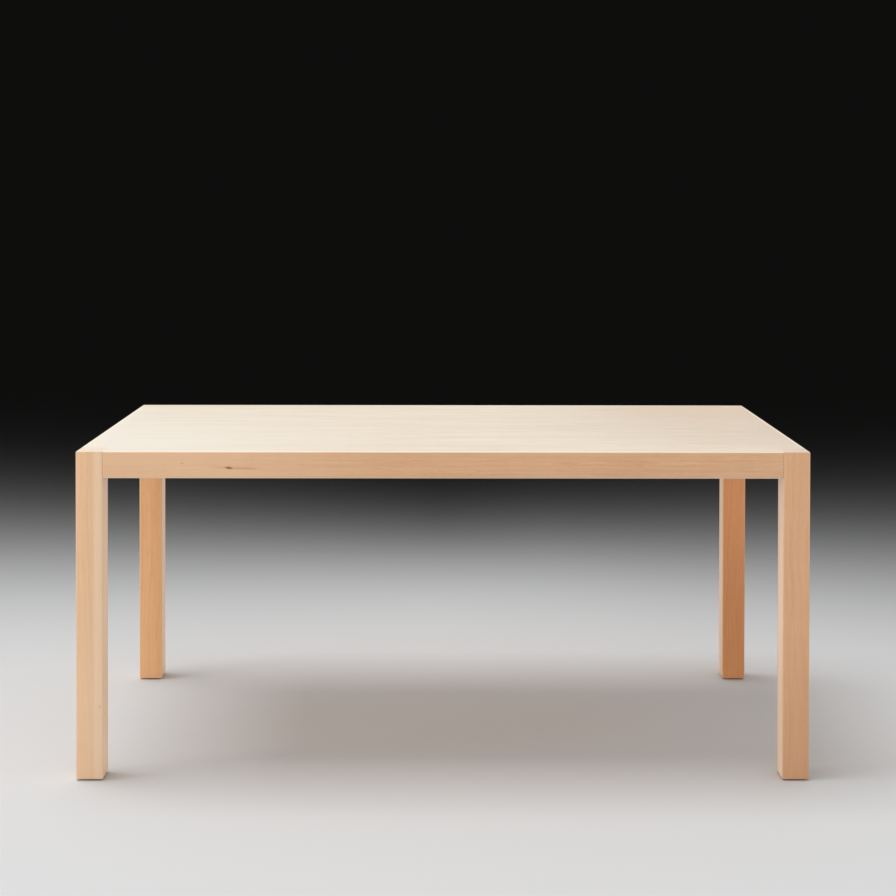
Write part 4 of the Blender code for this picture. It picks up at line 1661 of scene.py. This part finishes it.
@dataclass
class Glides:
    """The levelling glides: a moulded pad snapped round the head of a threaded stud."""

    dresser: Dresser
    steel: Material
    nylon: Material
    pad_radius: float = 0.016
    pad_height: float = 0.0077
    pad_floor: float = 0.002
    pad_round: float = 0.0016
    pad_edge: float = 0.0005
    key_hole: float = 0.00281
    key_width: float = 0.004
    key_depth: float = 0.002
    gap: float = 0.0003
    head_radius: float = 0.008
    head_height: float = 0.003
    head_edge: float = 0.0004
    stud_radius: float = 0.004
    stud_core: float = 0.00335
    stud_pitch: float = 0.00125
    stud_top: float = 0.036
    thread_root: float = 0.98
    thread_steps: int = 32
    sides: int = 64

    def build(self) -> None:
        """Models one pad and one stud and sets a copy of each in every foot."""
        pad, stud = self._pad(), self._stud()
        for corner in Corner:
            foot = pad.copy(corner.label + "_foot_pad", corner.matrix())
            self.dresser.dress(foot, self.nylon, Slot.PLASTIC, corner.label + "_glide_pad")
            screw = stud.copy(corner.label + "_foot_stud", corner.matrix())
            self.dresser.dress(screw, self.steel, Slot.STEEL, corner.label + "_glide_stud")
            self.dresser.refinish(corner.label + "_insert", self.steel)
        pad.discard()
        stud.discard()

    def _pad(self) -> Workpiece:
        """Models the pad: rounded at the sole, with a pocket for the stud's head and a hole for its key.

        Returns:
            The pad, on the floor about Z.
        """
        sole = [(self.pad_radius - self.pad_round * (1 - sine), self.pad_round * (1 - cosine))
                for sine, cosine in quarter_arc()]
        neck = self.stud_radius + self.gap
        pocket = self.head_radius + self.gap
        pocket_top = self.pad_floor + self.head_height + 2 * self.gap
        top, edge = self.pad_height, self.pad_edge
        return Workpiece.turned("foot_pad", [
            (self.key_hole + edge, 0), *sole, (self.pad_radius, top - edge), (self.pad_radius - edge, top),
            (neck + edge, top), (neck, top - edge), (neck, pocket_top), (pocket, pocket_top),
            (pocket, self.pad_floor), (self.key_hole, self.pad_floor), (self.key_hole, edge)],
            self.sides, closed=True)

    def _stud(self) -> Workpiece:
        """Models the stud: a flat head with a hexagon key socket, and a fine thread.

        Returns:
            The stud about Z, in its place in the pad.
        """
        low = self.pad_floor + self.gap
        high = low + self.head_height
        edge, rim = self.head_edge, self.head_radius
        stud = Workpiece.turned("foot_stud", [
            (0, low), (rim - edge, low), (rim, low + edge), (rim, high - edge), (rim - edge, high),
            (self.stud_core, high), (self.stud_core, self.stud_top), (0, self.stud_top)], self.sides)
        spiral = Workpiece.thread("stud_thread", self.stud_core * self.thread_root, self.stud_radius,
                                  self.stud_pitch, high - edge, self.stud_top - 2 * edge, self.thread_steps)
        stud.combine(Meeting.JOIN, spiral)
        socket = Workpiece.drum("key_socket", self.key_width / math.sqrt(3), low - self.key_depth,
                                low + self.key_depth, HEXAGON_SIDES)
        stud.combine(Meeting.CUT, socket)
        return stud


class StudioLamp(Enum):
    """The soft boxes: place, point that they face, width, height, power in watts."""

    KEY = ((-4.94, 0.2, 15.2), (0.0, 0.0, 0.0), 8.0, 10.2, 1407.0)
    LEFT = ((-6.50, -0.60, 1.10), (0.0, 0.0, 0.35), 4.5, 2.0, 190.0)
    RIGHT = ((6.50, -0.60, 1.10), (0.0, 0.0, 0.35), 4.5, 2.0, 48.0)


@dataclass
class Studio:
    """A pale floor with a painted pool of light that falls away into the dark, an even world light and three
    soft boxes.
    """

    floor_size: float = 40.0
    floor_tone: Colour = (0.580, 0.584, 0.589)
    floor_mottle: Colour = (0.50, 0.495, 0.49)
    mottle: Grain = Grain(5.0, 5.0, 0.0, 3.0)
    mottle_share: float = 0.06
    roughness: float = 0.85
    rough_swing: float = 0.05
    # The painted pool of light on the floor: where it fades, how softly, and how much sooner to the right
    pale_middle: float = -0.75
    half_light: float = 2.37
    softness: float = 0.42
    side_softness: float = 0.08
    spread: float = 0.30
    painted_dim_right: float = 0.14
    painted_dim_start: float = 0.4
    backdrop: Colour = (0.0046, 0.0044, 0.0042)
    ambient: Colour = (0.726, 0.726, 0.726)

    def build(self) -> None:
        """Lays the floor and sets the light."""
        Workpiece.put_down()
        bpy.ops.mesh.primitive_plane_add(size=self.floor_size)
        floor = bpy.context.object
        floor.name = "studio_floor"
        floor.data.materials.append(self._floor_finish())
        self._world()
        for lamp in StudioLamp:
            self._lamp(lamp)

    def _floor_finish(self) -> Material:
        """Builds the matt pale floor, with a painted pool of light: it fades to dark with distance from the
        table, sooner to the right.

        Returns:
            The material, which is clear where it has faded and from below.
        """
        sheet = FinishSheet("pale_studio_floor")
        x, y, z = sheet.object_place()
        wide = x * self.spread
        deep = y - self.pale_middle
        reach = (wide * wide + deep * deep).root() + (x - self.painted_dim_start).greater(0.0) * self.painted_dim_right
        soft = abs(x) * self.side_softness + self.softness
        # Painted pool of light: the floor fades into the dark backdrop
        painted_light_falloff = 1.0 - 1.0 / (1.0 + ((reach - self.half_light) / soft).exponent())
        mottle = sheet.grain((x, y, z), self.mottle)
        tone = sheet.mix(mottle * self.mottle_share, self.floor_tone, self.floor_mottle)
        rough = self.roughness + mottle * self.rough_swing
        sheet.surface(base_color=tone, roughness=rough, specular_ior_level=0.0)
        below = Value(sheet, sheet.node("ShaderNodeNewGeometry").outputs["Backfacing"])
        clear = sheet.node("ShaderNodeBsdfTransparent").outputs[0]
        sockets = {0: painted_light_falloff.greater(below), 1: sheet.shader.outputs[0], 2: clear}
        gone = sheet.node("ShaderNodeMixShader", None, sockets)
        sheet.feed(sheet.tree.nodes["Material Output"].inputs["Surface"], gone.outputs[0])
        return sheet.material

    def _world(self) -> None:
        """A dark backdrop to the eye, and a soft even light on the table."""
        world = bpy.data.worlds.new("studio_world")
        bpy.context.scene.world = world
        world.use_nodes = True
        sheet = NodeSheet(world.node_tree)
        seen = sheet.node("ShaderNodeLightPath").outputs["Is Camera Ray"]
        colour = sheet.mix(Value(sheet, seen), self.ambient, self.backdrop)
        sheet.feed(world.node_tree.nodes["Background"].inputs["Color"], colour)

    def _lamp(self, lamp: StudioLamp) -> None:
        """Sets one soft box, facing its point.

        Args:
            lamp: the box's place, aim, size and power.
        """
        place, aim, width, height, power = lamp.value
        turn = (Vector(aim) - Vector(place)).to_track_quat("-Z", "Y").to_euler()
        Workpiece.put_down()
        bpy.ops.object.light_add(type="AREA", location=place, rotation=turn)
        box = bpy.context.object
        box.name = f"soft_box_{lamp.name.lower()}"
        box.visible_camera = False
        box.data.shape = "RECTANGLE"
        box.data.size = width
        box.data.size_y = height
        box.data.energy = power


@dataclass
class PhotoCamera:
    """The photograph's viewpoint: a long lens held almost level, with its frame dropped."""

    place: Point = (-0.00851, -3.88386, 1.26598)
    yaw: float = -0.00500
    dip: float = 0.014577
    roll: float = 0.0018
    focal_pixels: float = 1603.55
    frame_pixels: float = 896.0
    axis_row: float = 224.55
    sensor: float = 36.0

    def build(self) -> None:
        """Adds the camera and looks through it."""
        Workpiece.put_down()
        turn = (QUARTER_TURN - self.dip, -self.roll, self.yaw)
        bpy.ops.object.camera_add(location=self.place, rotation=turn)
        camera = bpy.context.object
        camera.data.sensor_width = self.sensor
        camera.data.lens = self.focal_pixels * self.sensor / self.frame_pixels
        camera.data.shift_y = (self.axis_row - self.frame_pixels / 2) / self.frame_pixels
        bpy.context.scene.camera = camera


def main() -> None:
    """Builds the studio and every dressed piece."""
    logging.basicConfig(level=logging.INFO, format="%(name)s: %(message)s")
    bpy.context.scene.view_settings.view_transform = "Standard"
    PhotoCamera().build()
    Studio().build()
    dresser = Dresser(frame["nodes"])
    layout = CornerLayout()
    TopAndAprons(dresser, layout).build()
    Legs(dresser, layout).build()
    Battens(dresser).build()
    steel = ZincFinish().material()
    LegFixings(dresser, layout, steel).build()
    WoodScrews(dresser, layout, steel).build()
    Glides(dresser, steel, NylonFinish().material()).build()


if __name__ == "__main__":
    main()
